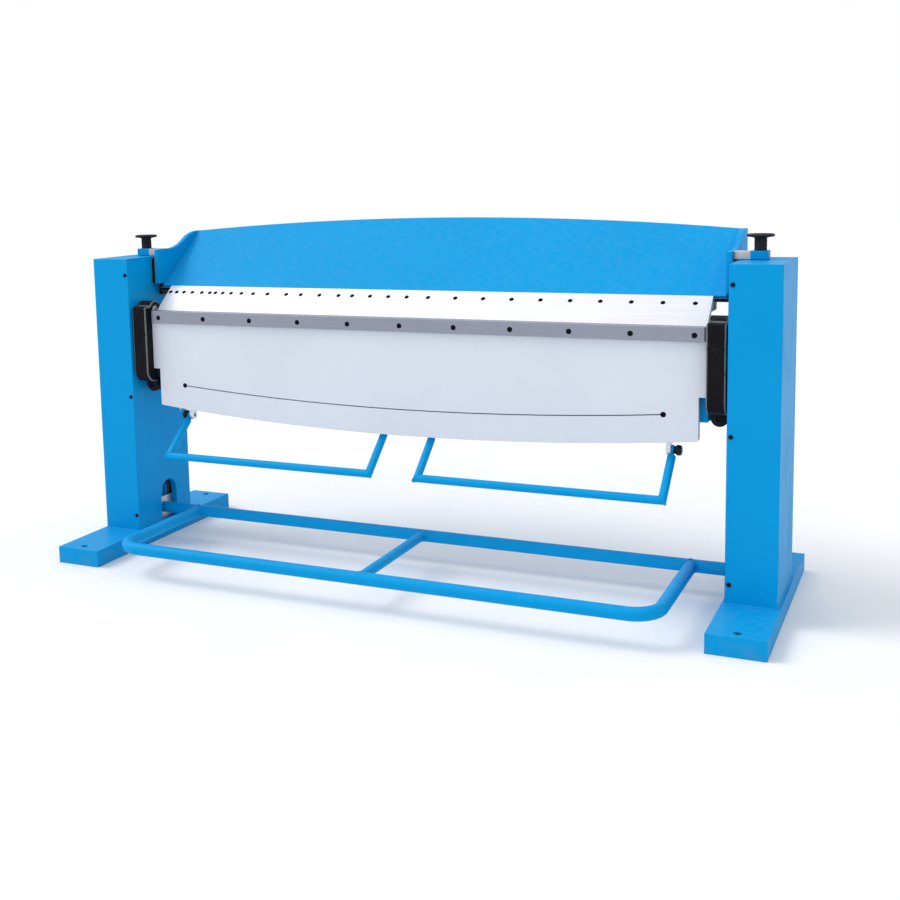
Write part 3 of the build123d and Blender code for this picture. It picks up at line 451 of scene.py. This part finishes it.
def zinc_plate():
    """Zinc plate with its crystal patches."""
    material, wires, shader = new_material("zinc_plate")
    cells = wires.add("ShaderNodeTexVoronoi", {"Vector": wires.place(), "Scale": 160.0})
    patch = wires.ramp(cells.outputs["Distance"], 0.0, 0.9)
    body = wires.mix_colour(patch, ZINC_DARK, ZINC_BRIGHT)
    wear = wires.group(effect("edge_wear"), Amount=0.8, Grain=90.0)
    wires.feed(shader.inputs["Base Color"], wires.mix_colour(wear, body, ZINC_EDGE))
    smudge = wires.group(effect("smudges"), Scale=20.0, Amount=0.7)
    wires.feed(shader.inputs["Roughness"], wires.mix_value(smudge, 0.34, 0.52))
    bump(wires, shader, patch, 0.00003)
    shader.inputs["Metallic"].default_value = 0.75
    return material


def dark(name, colour, *, metallic=0.0, roughness, skin_scale, depth, bright_edge):
    """Black castings, oxide steel, plastic and rubber: pebbled skin, dust and rubbed edges."""
    settings = finish_settings()
    material, wires, shader = new_material(name)
    tone = wires.group(effect("tone"), Scale=14.0)
    body = wires.mix_colour(tone, opaque(colour, 0.8), opaque(colour, 1.25))
    wear = wires.group(effect("edge_wear"), Amount=0.75, Grain=110.0)
    body = wires.mix_colour(wires.math("MULTIPLY", wear, bright_edge), body, RUBBED_BLACK)
    dust = wires.group(effect("dust"), Amount=settings.dust * 2.0)
    wires.feed(shader.inputs["Base Color"], wires.mix_colour(dust, body, DUST_ON_BLACK))
    smudge = wires.group(effect("smudges"), Scale=24.0, Amount=0.8)
    wires.feed(shader.inputs["Roughness"], wires.mix_value(smudge, roughness, roughness + 0.15))
    bump(wires, shader, wires.group(effect("sand_skin"), Scale=skin_scale), depth)
    shader.inputs["Metallic"].default_value = metallic
    shader.inputs["Specular IOR Level"].default_value = 0.08
    return material


def black_iron():
    return dark("black_casting", (0.006, 0.0062, 0.009), roughness=0.50, skin_scale=420.0,
                depth=finish_settings().casting, bright_edge=0.45)


def dark_steel():
    return dark("black_oxide_steel", (0.010, 0.011, 0.016), metallic=0.1, roughness=0.42, skin_scale=900.0,
                depth=0.00006, bright_edge=0.7)


def black_plastic():
    return dark("moulded_black_plastic", (0.018, 0.019, 0.023), roughness=0.40, skin_scale=700.0,
                depth=0.00012, bright_edge=0.12)


def rubber():
    return dark("buffer_rubber", (0.014, 0.014, 0.016), roughness=0.72, skin_scale=800.0,
                depth=0.00015, bright_edge=0.10)


MAKERS = {
    "blue_paint": blue_paint, "grey_paint": grey_paint, "ground_steel": ground_steel,
    "bar_steel": bar_steel, "black_iron": black_iron, "bare_steel": bare_steel,
    "dark_steel": dark_steel, "zinc_steel": zinc_plate, "black_plastic": black_plastic,
    "rubber": rubber, "bronze": hinge_bronze,
}
made_materials = {}


def material_for(slot):
    if slot not in made_materials:
        made_materials[slot] = MAKERS[slot]()
    return made_materials[slot]


def floor_material():
    """Pale smooth studio floor with a faint trowelled tone."""
    material, wires, shader = new_material("pale_studio_floor")
    cloud = wires.ramp(wires.noise(wires.place(), 1.2, 6.0, 0.6), 0.3, 0.7)
    wires.feed(shader.inputs["Base Color"], wires.mix_colour(cloud, FLOOR_SHADE, FLOOR_LIGHT))
    wires.feed(shader.inputs["Roughness"], wires.mix_value(cloud, 0.72, 0.82))
    bump(wires, shader, wires.noise(wires.place(), 60.0, 4.0, 0.6), 0.0002)
    shader.inputs["Specular IOR Level"].default_value = 0.2
    return material


# ---- Mesh work ----
SLOTS = {part["node"]: part["material_slot"] for part in frame["record"]["subparts"]}


def body_of(node):
    return frame["nodes"][node]["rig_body"]


def edges_of():
    return bpy.context.scene.folding_edges


def cad_mesh(node):
    """A CAD node's mesh with its split corners joined, as a new bmesh."""
    bm = bmesh.new()
    bm.from_mesh(frame["nodes"][node].data)
    bmesh.ops.remove_doubles(bm, verts=bm.verts, dist=MERGE)
    return bm


def finish_piece(bm, name, slot, body, nodes=()):
    """Turns a bmesh into a piece that rides on a body and stands for some CAD nodes."""
    if bpy.data.objects.get(name):
        raise RuntimeError(f"{name} is built already")
    bmesh.ops.recalc_face_normals(bm, faces=bm.faces)
    mesh = bpy.data.meshes.new(name)
    bm.to_mesh(mesh)
    bm.free()
    mesh.shade_smooth()
    mesh.set_sharp_from_angle(angle=SHARP)
    mesh.materials.append(material_for(slot))
    piece = bpy.data.objects.new(name, mesh)
    bpy.context.scene.collection.objects.link(piece)
    shading = piece.modifiers.new("face_weighted_shading", "WEIGHTED_NORMAL")
    shading.keep_sharp = True
    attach(piece, body)
    if nodes:
        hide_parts(*nodes)
    return piece


def round_edges(bm, width, segments):
    """Rounds every edge that turns more than EDGE_TURN and marks the new faces."""
    bmesh.ops.dissolve_limit(bm, angle_limit=FLAT, verts=bm.verts, edges=bm.edges, delimit={"NORMAL"})
    mark = bm.faces.layers.float.new("rounded_edge")
    sharp = [e for e in bm.edges if len(e.link_faces) == 2 and e.calc_face_angle() > EDGE_TURN]
    made = bmesh.ops.bevel(bm, geom=sharp, offset=width, offset_type="OFFSET", segments=segments,
                           profile=0.5, affect="EDGES", clamp_overlap=False, miter_outer="ARC")
    for face in made["faces"]:
        face[mark] = 1.0


def softened(node, width, segments=2):
    """The finished piece for a CAD node: the same shape with rounded edges."""
    bm = cad_mesh(node)
    round_edges(bm, width, segments)
    return finish_piece(bm, f"{node}_finished", SLOTS[node], body_of(node), [node])


def soften_all(nodes, width, segments=2):
    for node in nodes:
        softened(node, width, segments)


def loft(bm, rings, looped=False):
    """A skin over a row of rings that have as many points each, closed at its ends."""
    rows = [[bm.verts.new(point) for point in ring] for ring in rings]
    count = len(rows[0])
    following = rows[1:] + ([rows[0]] if looped else [])
    for low, high in zip(rows, following):
        for i in range(count):
            j = (i + 1) % count
            bm.faces.new((low[i], low[j], high[j], high[i]))
    if not looped:
        bm.faces.new(list(reversed(rows[0])))
        bm.faces.new(rows[-1])


def round_outline(_):
    return 1.0


def hex_outline(angle):
    """Radius of a hexagon whose corners lie at radius 1."""
    sixth = pi / 3
    within = angle - sixth * floor(angle / sixth) - sixth / 2
    return cos(sixth / 2) / cos(within)


def lobed_outline(lobes, depth):
    return lambda angle: 1.0 - depth * (0.5 - 0.5 * cos(lobes * angle))


def turned(bm, base, axis, profile, count=SIDES):
    """A part turned about an axis. The profile holds height, radius and, where not round, outline."""
    axis = axis.normalized()
    across = axis.orthogonal().normalized()
    up = axis.cross(across)
    rings = []
    for height, radius, *outline in profile:
        shape = outline[0] if outline else round_outline
        ring = []
        for i in range(count):
            angle = 2 * pi * i / count
            reach = radius * shape(angle)
            ring.append(base + axis * height + (across * cos(angle) + up * sin(angle)) * reach)
        rings.append(ring)
    loft(bm, rings)


def solids_of(node):
    """The corner points of each separate solid in a CAD node, from left to right."""
    bm = cad_mesh(node)
    seen = set()
    groups = []
    for start in bm.verts:
        if start in seen:
            continue
        seen.add(start)
        stack = [start]
        points = []
        while stack:
            corner = stack.pop()
            points.append(corner.co.copy())
            for edge in corner.link_edges:
                other = edge.other_vert(corner)
                if other not in seen:
                    seen.add(other)
                    stack.append(other)
        groups.append(points)
    bm.free()
    return sorted(groups, key=lambda points: (round(sum(p.x for p in points) / len(points), 4), points[0].z))


def middle_of(points, axis):
    """The middle of some points, measured square to an axis, and half their width there."""
    across = axis.orthogonal().normalized()
    up = axis.cross(across)
    spans = []
    for direction in (across, up):
        reach = [p.dot(direction) for p in points]
        spans.append((min(reach), max(reach)))
    centre = across * sum(spans[0]) / 2 + up * sum(spans[1]) / 2
    return centre, (spans[0][1] - spans[0][0]) / 2


def head_place(points, axis):
    """Top centre of a screw's head, its radius and the screw's length, for a screw pointing along an axis."""
    top = max(p.dot(axis) for p in points)
    rim = [p for p in points if p.dot(axis) > top - TOP_BAND]
    centre, radius = middle_of(rim, axis)
    return centre + axis * top, radius, top - min(p.dot(axis) for p in points)


def socket_screw(bm, top, axis, radius, length, shank):
    """A socket-head screw with a chamfered head and a hexagon socket."""
    head = radius * 1.05
    chamfer = radius * 0.12
    key = radius * 0.58
    turned(bm, top, axis, [
        (-length, shank * 0.8), (-length + shank * 0.3, shank), (-head, shank), (-head, radius),
        (-chamfer, radius), (0.0, radius - chamfer), (0.0, key * 1.22), (-chamfer, key * 1.04, hex_outline),
        (-head * 0.55, key, hex_outline), (-head * 0.62, key * 0.3)])


def button_screw(bm, top, axis, radius, length, shank):
    """A button-head screw: a low dome with a hexagon socket."""
    rise = radius * 0.53
    key = radius * 0.42
    dome = [(-rise * (1 - sin(t)), radius * (0.55 + 0.45 * cos(t))) for t in (0.0, 0.45, 0.9, 1.3)]
    turned(bm, top, axis, [
        (-length, shank), (-rise * 1.001, shank)] + dome + [
        (0.0, key * 1.25), (-rise * 0.12, key, hex_outline), (-rise * 0.7, key, hex_outline)])


def ring_at_plane(centre, direction, radius, normal, count=48):
    """The closed line where a round bar along a direction meets a plane through its centre line."""
    across = direction.orthogonal().normalized()
    up = direction.cross(across)
    points = []
    for i in range(count):
        angle = 2 * pi * i / count
        out = (across * cos(angle) + up * sin(angle)) * radius
        points.append(centre + out - direction * (out.dot(normal) / direction.dot(normal)))
    return points


def ring_on_tube(centre, direction, along, bar_radius, tube_radius, count=48):
    """The closed line where a round bar meets a larger round tube that lies along another direction."""
    up = direction.cross(along)
    points = []
    for i in range(count):
        angle = 2 * pi * i / count
        rise = bar_radius * sin(angle)
        drop = max(tube_radius * tube_radius - rise * rise, 0.0) ** 0.5
        points.append(centre + along * bar_radius * cos(angle) + up * rise + direction * drop)
    return points


def weld_bead(bm, points, radius, closed=True, ripple=0.0055):
    """A weld bead with overlapping ripples along a row of points."""
    line = points + [points[0]] if closed else points
    lengths = [0.0]
    for a, b in zip(line, line[1:]):
        lengths.append(lengths[-1] + (b - a).length)
    total = lengths[-1]
    steps = max(12, int(total / ripple * 4))
    rings = []
    span = 0
    for step in range(steps if closed else steps + 1):
        at = total * step / steps
        while span < len(lengths) - 2 and lengths[span + 1] < at:
            span += 1
        a, b = line[span], line[span + 1]
        here = a.lerp(b, (at - lengths[span]) / max(lengths[span + 1] - lengths[span], 1e-9))
        direction = (b - a).normalized()
        across = direction.cross(Z_AXIS if abs(direction.z) < 0.9 else X_AXIS).normalized()
        up = across.cross(direction)
        swell = radius * (1.0 + 0.16 * (2 * (at / ripple % 1.0) - 1.0) ** 2)
        angles = [2 * pi * i / BEAD_SIDES for i in range(BEAD_SIDES)]
        rings.append([here + (across * cos(angle) + up * sin(angle)) * swell for angle in angles])
    loft(bm, rings, looped=closed)


def rectangle(low, high, z):
    return [Vector((low.x, low.y, z)), Vector((high.x, low.y, z)),
            Vector((high.x, high.y, z)), Vector((low.x, high.y, z))]


def weld_piece(name, body, lines, slot="blue_paint", closed=True, radius=None):
    bm = bmesh.new()
    for points in lines:
        weld_bead(bm, points, radius or edges_of().weld, closed)
    finish_piece(bm, name, slot, body)


def sides_of(node):
    """The pair of nodes for the left and right of the machine."""
    return [f"{node}_left", f"{node}_right"]


# ---- Builders ----
class BuildFeet(bpy.types.Operator):
    """Box-section feet with anchor holes, and the welds that join them to the columns"""
    bl_idname = "folding.build_feet"
    bl_label = "Feet"

    def execute(self, context):
        softened("feet", edges_of().plate * 1.3, 3)
        lines = []
        for node in sides_of("column_cover"):
            low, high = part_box(node)
            lines.append(rectangle(low, high, low.z))
        weld_piece("column_foot_welds", "root", lines)
        return {"FINISHED"}


class BuildColumns(bpy.types.Operator):
    """Side plates, folded column covers and their screws"""
    bl_idname = "folding.build_columns"
    bl_label = "Columns"

    def execute(self, context):
        soften_all(sides_of("column_cover"), edges_of().fold, 3)
        soften_all(sides_of("side_plate"), edges_of().plate)
        bm = bmesh.new()
        low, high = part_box("column_cover_right")
        for points in solids_of("cover_screws"):
            at_front = points[0].y < (low.y + high.y) / 2
            axis = -Y_AXIS if at_front else Y_AXIS
            top = max(p.dot(axis) for p in points)
            centre, radius = middle_of(points, axis)
            length = top - min(p.dot(axis) for p in points)
            button_screw(bm, centre + axis * top, axis, radius, length, radius * 0.53)
        finish_piece(bm, "cover_screws_finished", "dark_steel", "root", ["cover_screws"])
        return {"FINISHED"}


class BuildLowerBeam(bpy.types.Operator):
    """Lower beam, its end blocks and bolts, and the ground blade on top"""
    bl_idname = "folding.build_lower_beam"
    bl_label = "Lower beam"

    def execute(self, context):
        softened("lower_beam", edges_of().plate * 1.5, 3)
        softened("beam_end_blocks", edges_of().plate)
        softened("lower_blade", edges_of().ground)
        softened("beam_bolts", edges_of().ground)
        return {"FINISHED"}


class BuildApron(bpy.types.Operator):
    """Apron plate with its curved slit, and the tube that stiffens it"""
    bl_idname = "folding.build_apron"
    bl_label = "Apron"
    hole_x = 0.884
    hole_z = 0.623
    hole_radius = 0.0088

    def execute(self, context):
        softened("apron", edges_of().plate)
        softened("apron_stiffener", edges_of().plate * 1.6, 3)
        self.slit_bolts()
        return {"FINISHED"}

    def slit_bolts(self):
        """Dark grub screws that close the round holes at the slit's ends."""
        bm = bmesh.new()
        low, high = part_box("apron")
        for side in (-1, 1):
            place = Vector((side * self.hole_x, low.y + 0.0015, self.hole_z))
            turned(bm, place, -Y_AXIS, [
                (-(high.y - low.y) * 0.8, self.hole_radius), (-0.0012, self.hole_radius),
                (0.0, self.hole_radius * 0.88), (0.0, 0.0056), (-0.0015, 0.005, hex_outline),
                (-0.007, 0.005, hex_outline)])
        finish_piece(bm, "slit_end_screws", "dark_steel", "apron_beam")


def screw_row(name, node, axis, head):
    """All the screws of one node as detailed screws that point along an axis."""
    bm = bmesh.new()
    for points in solids_of(node):
        top, radius, length = head_place(points, axis)
        head(bm, top, axis, radius, length, radius * 0.62)
    return finish_piece(bm, name, SLOTS[node], body_of(node), [node])


class BuildBendingBar(bpy.types.Operator):
    """Ground bending bar along the apron's top edge, with its row of socket screws"""
    bl_idname = "folding.build_bending_bar"
    bl_label = "Bending bar"

    def execute(self, context):
        softened("bending_bar", edges_of().ground * 1.6)
        screw_row("bar_screws_finished", "bar_screws", -Y_AXIS, socket_screw)
        return {"FINISHED"}


class BuildHinges(bpy.types.Operator):
    """Cast hinge arms, hinge pins and bushes, and the rubber rest buffers"""
    bl_idname = "folding.build_hinges"
    bl_label = "Apron hinges"
    ridge_up = 0.67             # the ridge's height, as a share of the arm's
    ridge_share = 0.86          # the ridge's length, as a share of the arm's width
    ridge_sink = 0.0006
    ridge_radius = 0.0013
    cap_screws_up = (0.21, 0.665)
    cap_screw_radius = 0.0085
    cap_screw_proud = 0.0022
    buffer_screw = 0.005

    def execute(self, context):
        for node in sides_of("hinge_arm"):
            softened(node, edges_of().casting, 3)
            self.arm_details(node)
        softened("hinge_pins", edges_of().ground * 2)
        softened("hinge_bushes", edges_of().ground)
        self.buffers()
        return {"FINISHED"}

    def arm_details(self, node):
        """A parting ridge across the arm and two cap screws in its face."""
        low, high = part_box(node)
        mid_x = (low.x + high.x) / 2
        reach = (high.x - low.x) / 2 * self.ridge_share
        height = high.z - low.z
        ridge_y = low.y + self.ridge_sink
        ridge_z = low.z + height * self.ridge_up
        ridge = [Vector((mid_x - reach, ridge_y, ridge_z)), Vector((mid_x + reach, ridge_y, ridge_z))]
        bm = bmesh.new()
        weld_bead(bm, ridge, self.ridge_radius, closed=False, ripple=0.02)
        finish_piece(bm, f"{node}_parting_ridge", "black_iron", body_of(node))
        bm = bmesh.new()
        for share in self.cap_screws_up:
            place = Vector((mid_x, low.y - self.cap_screw_proud, low.z + height * share))
            socket_screw(bm, place, -Y_AXIS, self.cap_screw_radius, 0.016, 0.005)
        finish_piece(bm, f"{node}_cap_screws", "dark_steel", body_of(node))

    def buffers(self):
        """Barrel-shaped rubber stops with a recessed washer."""
        bm = bmesh.new()
        for points in solids_of("rest_buffers"):
            centre, radius = middle_of(points, -Y_AXIS)
            rubber_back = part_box("beam_end_blocks")[0].y
            deep = rubber_back - min(p.y for p in points)
            screw_deep = max(p.y for p in points) - rubber_back
            turned(bm, Vector((centre.x, rubber_back, centre.z)), -Y_AXIS, [
                (-screw_deep, self.buffer_screw), (0.0, self.buffer_screw), (0.0, radius * 0.90),
                (deep * 0.15, radius * 0.96), (deep * 0.5, radius), (deep * 0.82, radius * 0.96),
                (deep * 0.95, radius * 0.86), (deep, radius * 0.74), (deep, radius * 0.34),
                (deep * 0.8, radius * 0.30), (deep * 0.8, radius * 0.12)])
        finish_piece(bm, "rest_buffers_finished", "rubber", "root", ["rest_buffers"])


class BuildHandles(bpy.types.Operator):
    """U-shaped handles with welded corners, their brackets and the fluted clamp knobs"""
    bl_idname = "folding.build_handles"
    bl_label = "Handles"
    tube_radius = 0.01345
    knob_depth = 0.023

    def execute(self, context):
        for side in ("left", "right"):
            node = f"handle_{side}"
            softened(node, edges_of().ground * 1.5)
            self.corner_welds(node)
            self.knob(f"clamp_knob_{side}", -1 if side == "left" else 1)
        softened("handle_brackets", edges_of().plate)
        return {"FINISHED"}

    def corner_welds(self, node):
        """Beads round the two mitred corners."""
        low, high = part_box(node)
        radius = self.tube_radius
        foot = Vector((0, low.y + radius, low.z + radius))
        pivot = middle_of([p for solid in solids_of("clamp_knob_right") for p in solid], X_AXIS)[0]
        leg = (foot - pivot).normalized()
        lines = []
        for x, inward in ((low.x + radius, X_AXIS), (high.x - radius, -X_AXIS)):
            corner = Vector((x, foot.y, foot.z))
            lines.append(ring_at_plane(corner, leg, radius, (leg + inward).normalized()))
        weld_piece(f"{node}_corner_welds", body_of(node), lines, radius=0.0016)

    def knob(self, node, side):
        """A lobed knob with a domed end and its screw, drawn as one black plastic piece."""
        points = [p for group in solids_of(node) for p in group]
        axis = X_AXIS * side
        centre, radius = middle_of(points, axis)
        end = max(p.dot(axis) for p in points)
        start = min(p.dot(axis) for p in points)
        deep = self.knob_depth
        lobes = lobed_outline(7, 0.14)
        bm = bmesh.new()
        turned(bm, centre + axis * end, axis, [
            (-deep, radius * 0.62), (-deep * 0.97, radius * 0.70), (-deep * 0.78, radius * 0.74),
            (-deep * 0.66, radius * 0.95, lobes), (-deep * 0.58, radius, lobes),
            (-deep * 0.20, radius, lobes), (-deep * 0.08, radius * 0.93, lobes), (0.0, radius * 0.76),
            (-deep * 0.04, radius * 0.40), (-deep * 0.04, radius * 0.1)], 84)
        turned(bm, centre + axis * start, axis, [
            (0.0, 0.0050), (0.0012, 0.006), (end - start - deep, 0.006), (end - start - deep * 0.98, 0.0055)])
        finish_piece(bm, f"{node}_finished", "black_plastic", body_of(node), [node])


class BuildClampingTool(bpy.types.Operator):
    """The twelve ground segments, their sunk screws and the bar behind them"""
    bl_idname = "folding.build_clamping_tool"
    bl_label = "Clamping tool"

    def execute(self, context):
        segments = sorted(n for n in frame["nodes"] if n.startswith("clamping_segment_"))
        soften_all(segments, edges_of().ground)
        widest = frame["nodes"][segments[-1]].data
        sloping = [p for p in widest.polygons if p.normal.z > 0.1 and p.normal.y < -0.1]
        face = max(sloping, key=lambda p: p.area)
        screw_row("segment_screws_finished", "segment_screws", face.normal.normalized(), socket_screw)
        softened("tool_carrier", edges_of().plate)
        return {"FINISHED"}


class BuildUpperBeam(bpy.types.Operator):
    """Sloping panel with its arched edge, end plates, ribs, back and slide shoes"""
    bl_idname = "folding.build_upper_beam"
    bl_label = "Upper beam"

    def execute(self, context):
        softened("beam_panel", edges_of().plate)
        soften_all(sides_of("end_plate"), edges_of().plate * 1.2, 3)
        softened("beam_back", edges_of().plate)
        softened("beam_ribs", edges_of().plate)
        softened("slide_shoes", edges_of().ground * 2)
        softened("guide_rails", edges_of().ground * 2)
        lines = []
        for rib in solids_of("beam_ribs"):
            x = max(p.x for p in rib)
            z = min(p.z for p in rib)
            front = min(p.y for p in rib) + 0.01
            back = max(p.y for p in rib)
            lines.append([Vector((x, front, z)), Vector((x, back, z))])
        weld_piece("rib_welds", "upper_beam", lines, closed=False)
        return {"FINISHED"}


class BuildAdjusters(bpy.types.Operator):
    """Height adjusters on the columns: lugs, sleeves and handwheels with their spindles"""
    bl_idname = "folding.build_adjusters"
    bl_label = "Height adjusters"

    def execute(self, context):
        softened("adjuster_lugs", edges_of().ground * 3)
        softened("adjuster_sleeves", edges_of().plate * 1.6, 3)
        for node in sides_of("handwheel"):
            self.handwheel(node)
        return {"FINISHED"}

    def handwheel(self, node):
        """A fluted hub under a dished disc with a rolled rim and a centre cap."""
        low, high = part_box(node)
        base = Vector(((low.x + high.x) / 2, (low.y + high.y) / 2, high.z))
        wheel = (high.x - low.x) / 2
        length = high.z - low.z
        flutes = lobed_outline(12, 0.10)
        bm = bmesh.new()
        turned(bm, base, Z_AXIS, [
            (-length, 0.0088), (-length + 0.0015, 0.010), (-0.0512, 0.010), (-0.0510, 0.0175),
            (-0.0495, 0.0190), (-0.0440, 0.0190), (-0.0425, 0.0183, flutes), (-0.0405, 0.0190, flutes),
            (-0.0160, 0.0190, flutes), (-0.0140, 0.0185), (-0.0120, 0.0220), (-0.0105, 0.0300),
            (-0.0092, wheel * 0.93), (-0.0074, wheel * 0.985), (-0.0050, wheel), (-0.0026, wheel * 0.985),
            (-0.0008, wheel * 0.93), (0.0, wheel * 0.84), (-0.0004, wheel * 0.78), (-0.0022, wheel * 0.70),
            (-0.0028, wheel * 0.36), (-0.0022, wheel * 0.33), (-0.0006, wheel * 0.29), (0.0, wheel * 0.22),
            (0.0, wheel * 0.05)], 96)
        finish_piece(bm, f"{node}_finished", "black_plastic", body_of(node), [node])


class BuildPedal(bpy.types.Operator):
    """Foot pedal: the bent tube, its middle tube, the torsion tube and their welds"""
    bl_idname = "folding.build_pedal"
    bl_label = "Foot pedal"
    cross_radius = 0.01685

    def execute(self, context):
        softened("pedal_frame", edges_of().ground)
        softened("torsion_tube", edges_of().ground)
        low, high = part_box("pedal_frame")
        tube_low, tube_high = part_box("torsion_tube")
        radius = (tube_high.z - tube_low.z) / 2
        pivot = Vector((0, (tube_low.y + tube_high.y) / 2, (tube_low.z + tube_high.z) / 2))
        front = Vector((0, low.y + radius, pivot.z))
        lines = [ring_on_tube(front, Y_AXIS, X_AXIS, self.cross_radius, radius),
                 ring_on_tube(pivot, -Y_AXIS, X_AXIS, self.cross_radius, radius)]
        for x in (low.x + radius, high.x - radius):
            lines.append(ring_on_tube(Vector((x, pivot.y, pivot.z)), -Y_AXIS, X_AXIS, radius, radius * 1.001))
        weld_piece("pedal_welds", "pedal", lines)
        return {"FINISHED"}


class BuildLinkage(bpy.types.Operator):
    """The lifting linkage inside the columns: levers, rods, rockers, bars, pins and gas struts"""
    bl_idname = "folding.build_linkage"
    bl_label = "Lifting linkage"

    def execute(self, context):
        plates = ["pedal_levers", "pedal_bearings", "push_rods", "rockers", "lift_bars"]
        soften_all(plates, edges_of().ground * 2)
        soften_all(["rocker_pivots", "lift_pins", "strut_cylinders", "strut_rods"], edges_of().ground)
        return {"FINISHED"}


class BuildStage(bpy.types.Operator):
    """Pale floor, soft studio light and the camera"""
    bl_idname = "folding.build_stage"
    bl_label = "Stage"

    def execute(self, context):
        settings = context.scene.folding_stage
        self.floor(settings)
        self.sky(settings)
        self.sun("key_light", KEY_DIRECTION, settings.key, KEY_SPREAD)
        self.sun("front_light", FRONT_DIRECTION, settings.fill, FRONT_SPREAD)
        data = bpy.data.cameras.new("camera")
        camera = bpy.data.objects.new("camera", data)
        bpy.context.scene.collection.objects.link(camera)
        camera.location = settings.camera_place
        camera.rotation_euler = settings.camera_turn
        data.lens = settings.lens
        data.sensor_width = SENSOR_WIDTH
        data.shift_x, data.shift_y = settings.shift
        context.scene.camera = camera
        context.scene.view_settings.view_transform = "Standard"
        return {"FINISHED"}

    def floor(self, settings):
        bm = bmesh.new()
        bmesh.ops.create_grid(bm, x_segments=8, y_segments=8, size=settings.floor_size / 2)
        mesh = bpy.data.meshes.new("studio_floor")
        bm.to_mesh(mesh)
        bm.free()
        mesh.materials.append(floor_material())
        obj = bpy.data.objects.new("studio_floor", mesh)
        bpy.context.scene.collection.objects.link(obj)

    def sky(self, settings):
        """Soft light from all round, in front of a plain white backdrop."""
        world = bpy.data.worlds.new("studio")
        world.use_nodes = True
        world.node_tree.nodes.clear()
        wires = Wiring(world.node_tree)
        up = wires.add("ShaderNodeSeparateXYZ", {0: wires.add("ShaderNodeTexCoord").outputs["Generated"]})
        tone = wires.mix_colour(wires.ramp(up.outputs[2], -0.2, 0.9), SKY_LOW, SKY_HIGH)
        light = wires.add("ShaderNodeBackground", {"Color": tone, "Strength": settings.ambient})
        backdrop = wires.add("ShaderNodeBackground", {"Color": (1.0, 1.0, 1.0, 1.0), "Strength": 1.0})
        seen = wires.add("ShaderNodeLightPath").outputs["Is Camera Ray"]
        both = wires.add("ShaderNodeMixShader", {0: seen, 1: light.outputs[0], 2: backdrop.outputs[0]})
        wires.add("ShaderNodeOutputWorld", {"Surface": both.outputs[0]})
        bpy.context.scene.world = world

    def sun(self, name, direction, strength, spread):
        data = bpy.data.lights.new(name, "SUN")
        data.energy = strength
        data.angle = spread
        light = bpy.data.objects.new(name, data)
        light.rotation_mode = "QUATERNION"
        light.rotation_quaternion = direction.to_track_quat("-Z", "Y")
        bpy.context.scene.collection.objects.link(light)


BUILDERS = (
    BuildFeet, BuildColumns, BuildLowerBeam, BuildApron, BuildBendingBar, BuildHinges, BuildHandles,
    BuildClampingTool, BuildUpperBeam, BuildAdjusters, BuildPedal, BuildLinkage, BuildStage,
)


class FoldingPanel(bpy.types.Panel):
    """Lists the builders and the settings"""
    bl_idname = "VIEW3D_PT_folding_machine"
    bl_label = "Folding Machine"
    bl_space_type = "VIEW_3D"
    bl_region_type = "UI"
    bl_category = "Folding Machine"

    def draw(self, context):
        for group in ("folding_finish", "folding_edges", "folding_stage"):
            box = self.layout.box()
            settings = getattr(context.scene, group)
            for name in settings.__annotations__:
                box.prop(settings, name)
        for builder in BUILDERS:
            self.layout.operator(builder.bl_idname)


SETTINGS = {"folding_finish": FoldingFinish, "folding_edges": FoldingEdges, "folding_stage": FoldingStage}
CLASSES = (*SETTINGS.values(), *BUILDERS, FoldingPanel)


def register():
    for cls in CLASSES:
        bpy.utils.register_class(cls)
    for name, cls in SETTINGS.items():
        setattr(bpy.types.Scene, name, PointerProperty(type=cls))


def unregister():
    for name in SETTINGS:
        delattr(bpy.types.Scene, name)
    for cls in reversed(CLASSES):
        bpy.utils.unregister_class(cls)


def main():
    register()
    for builder in BUILDERS:
        group, name = builder.bl_idname.split(".")
        getattr(getattr(bpy.ops, group), name)()


if __name__ == "__main__":
    main()
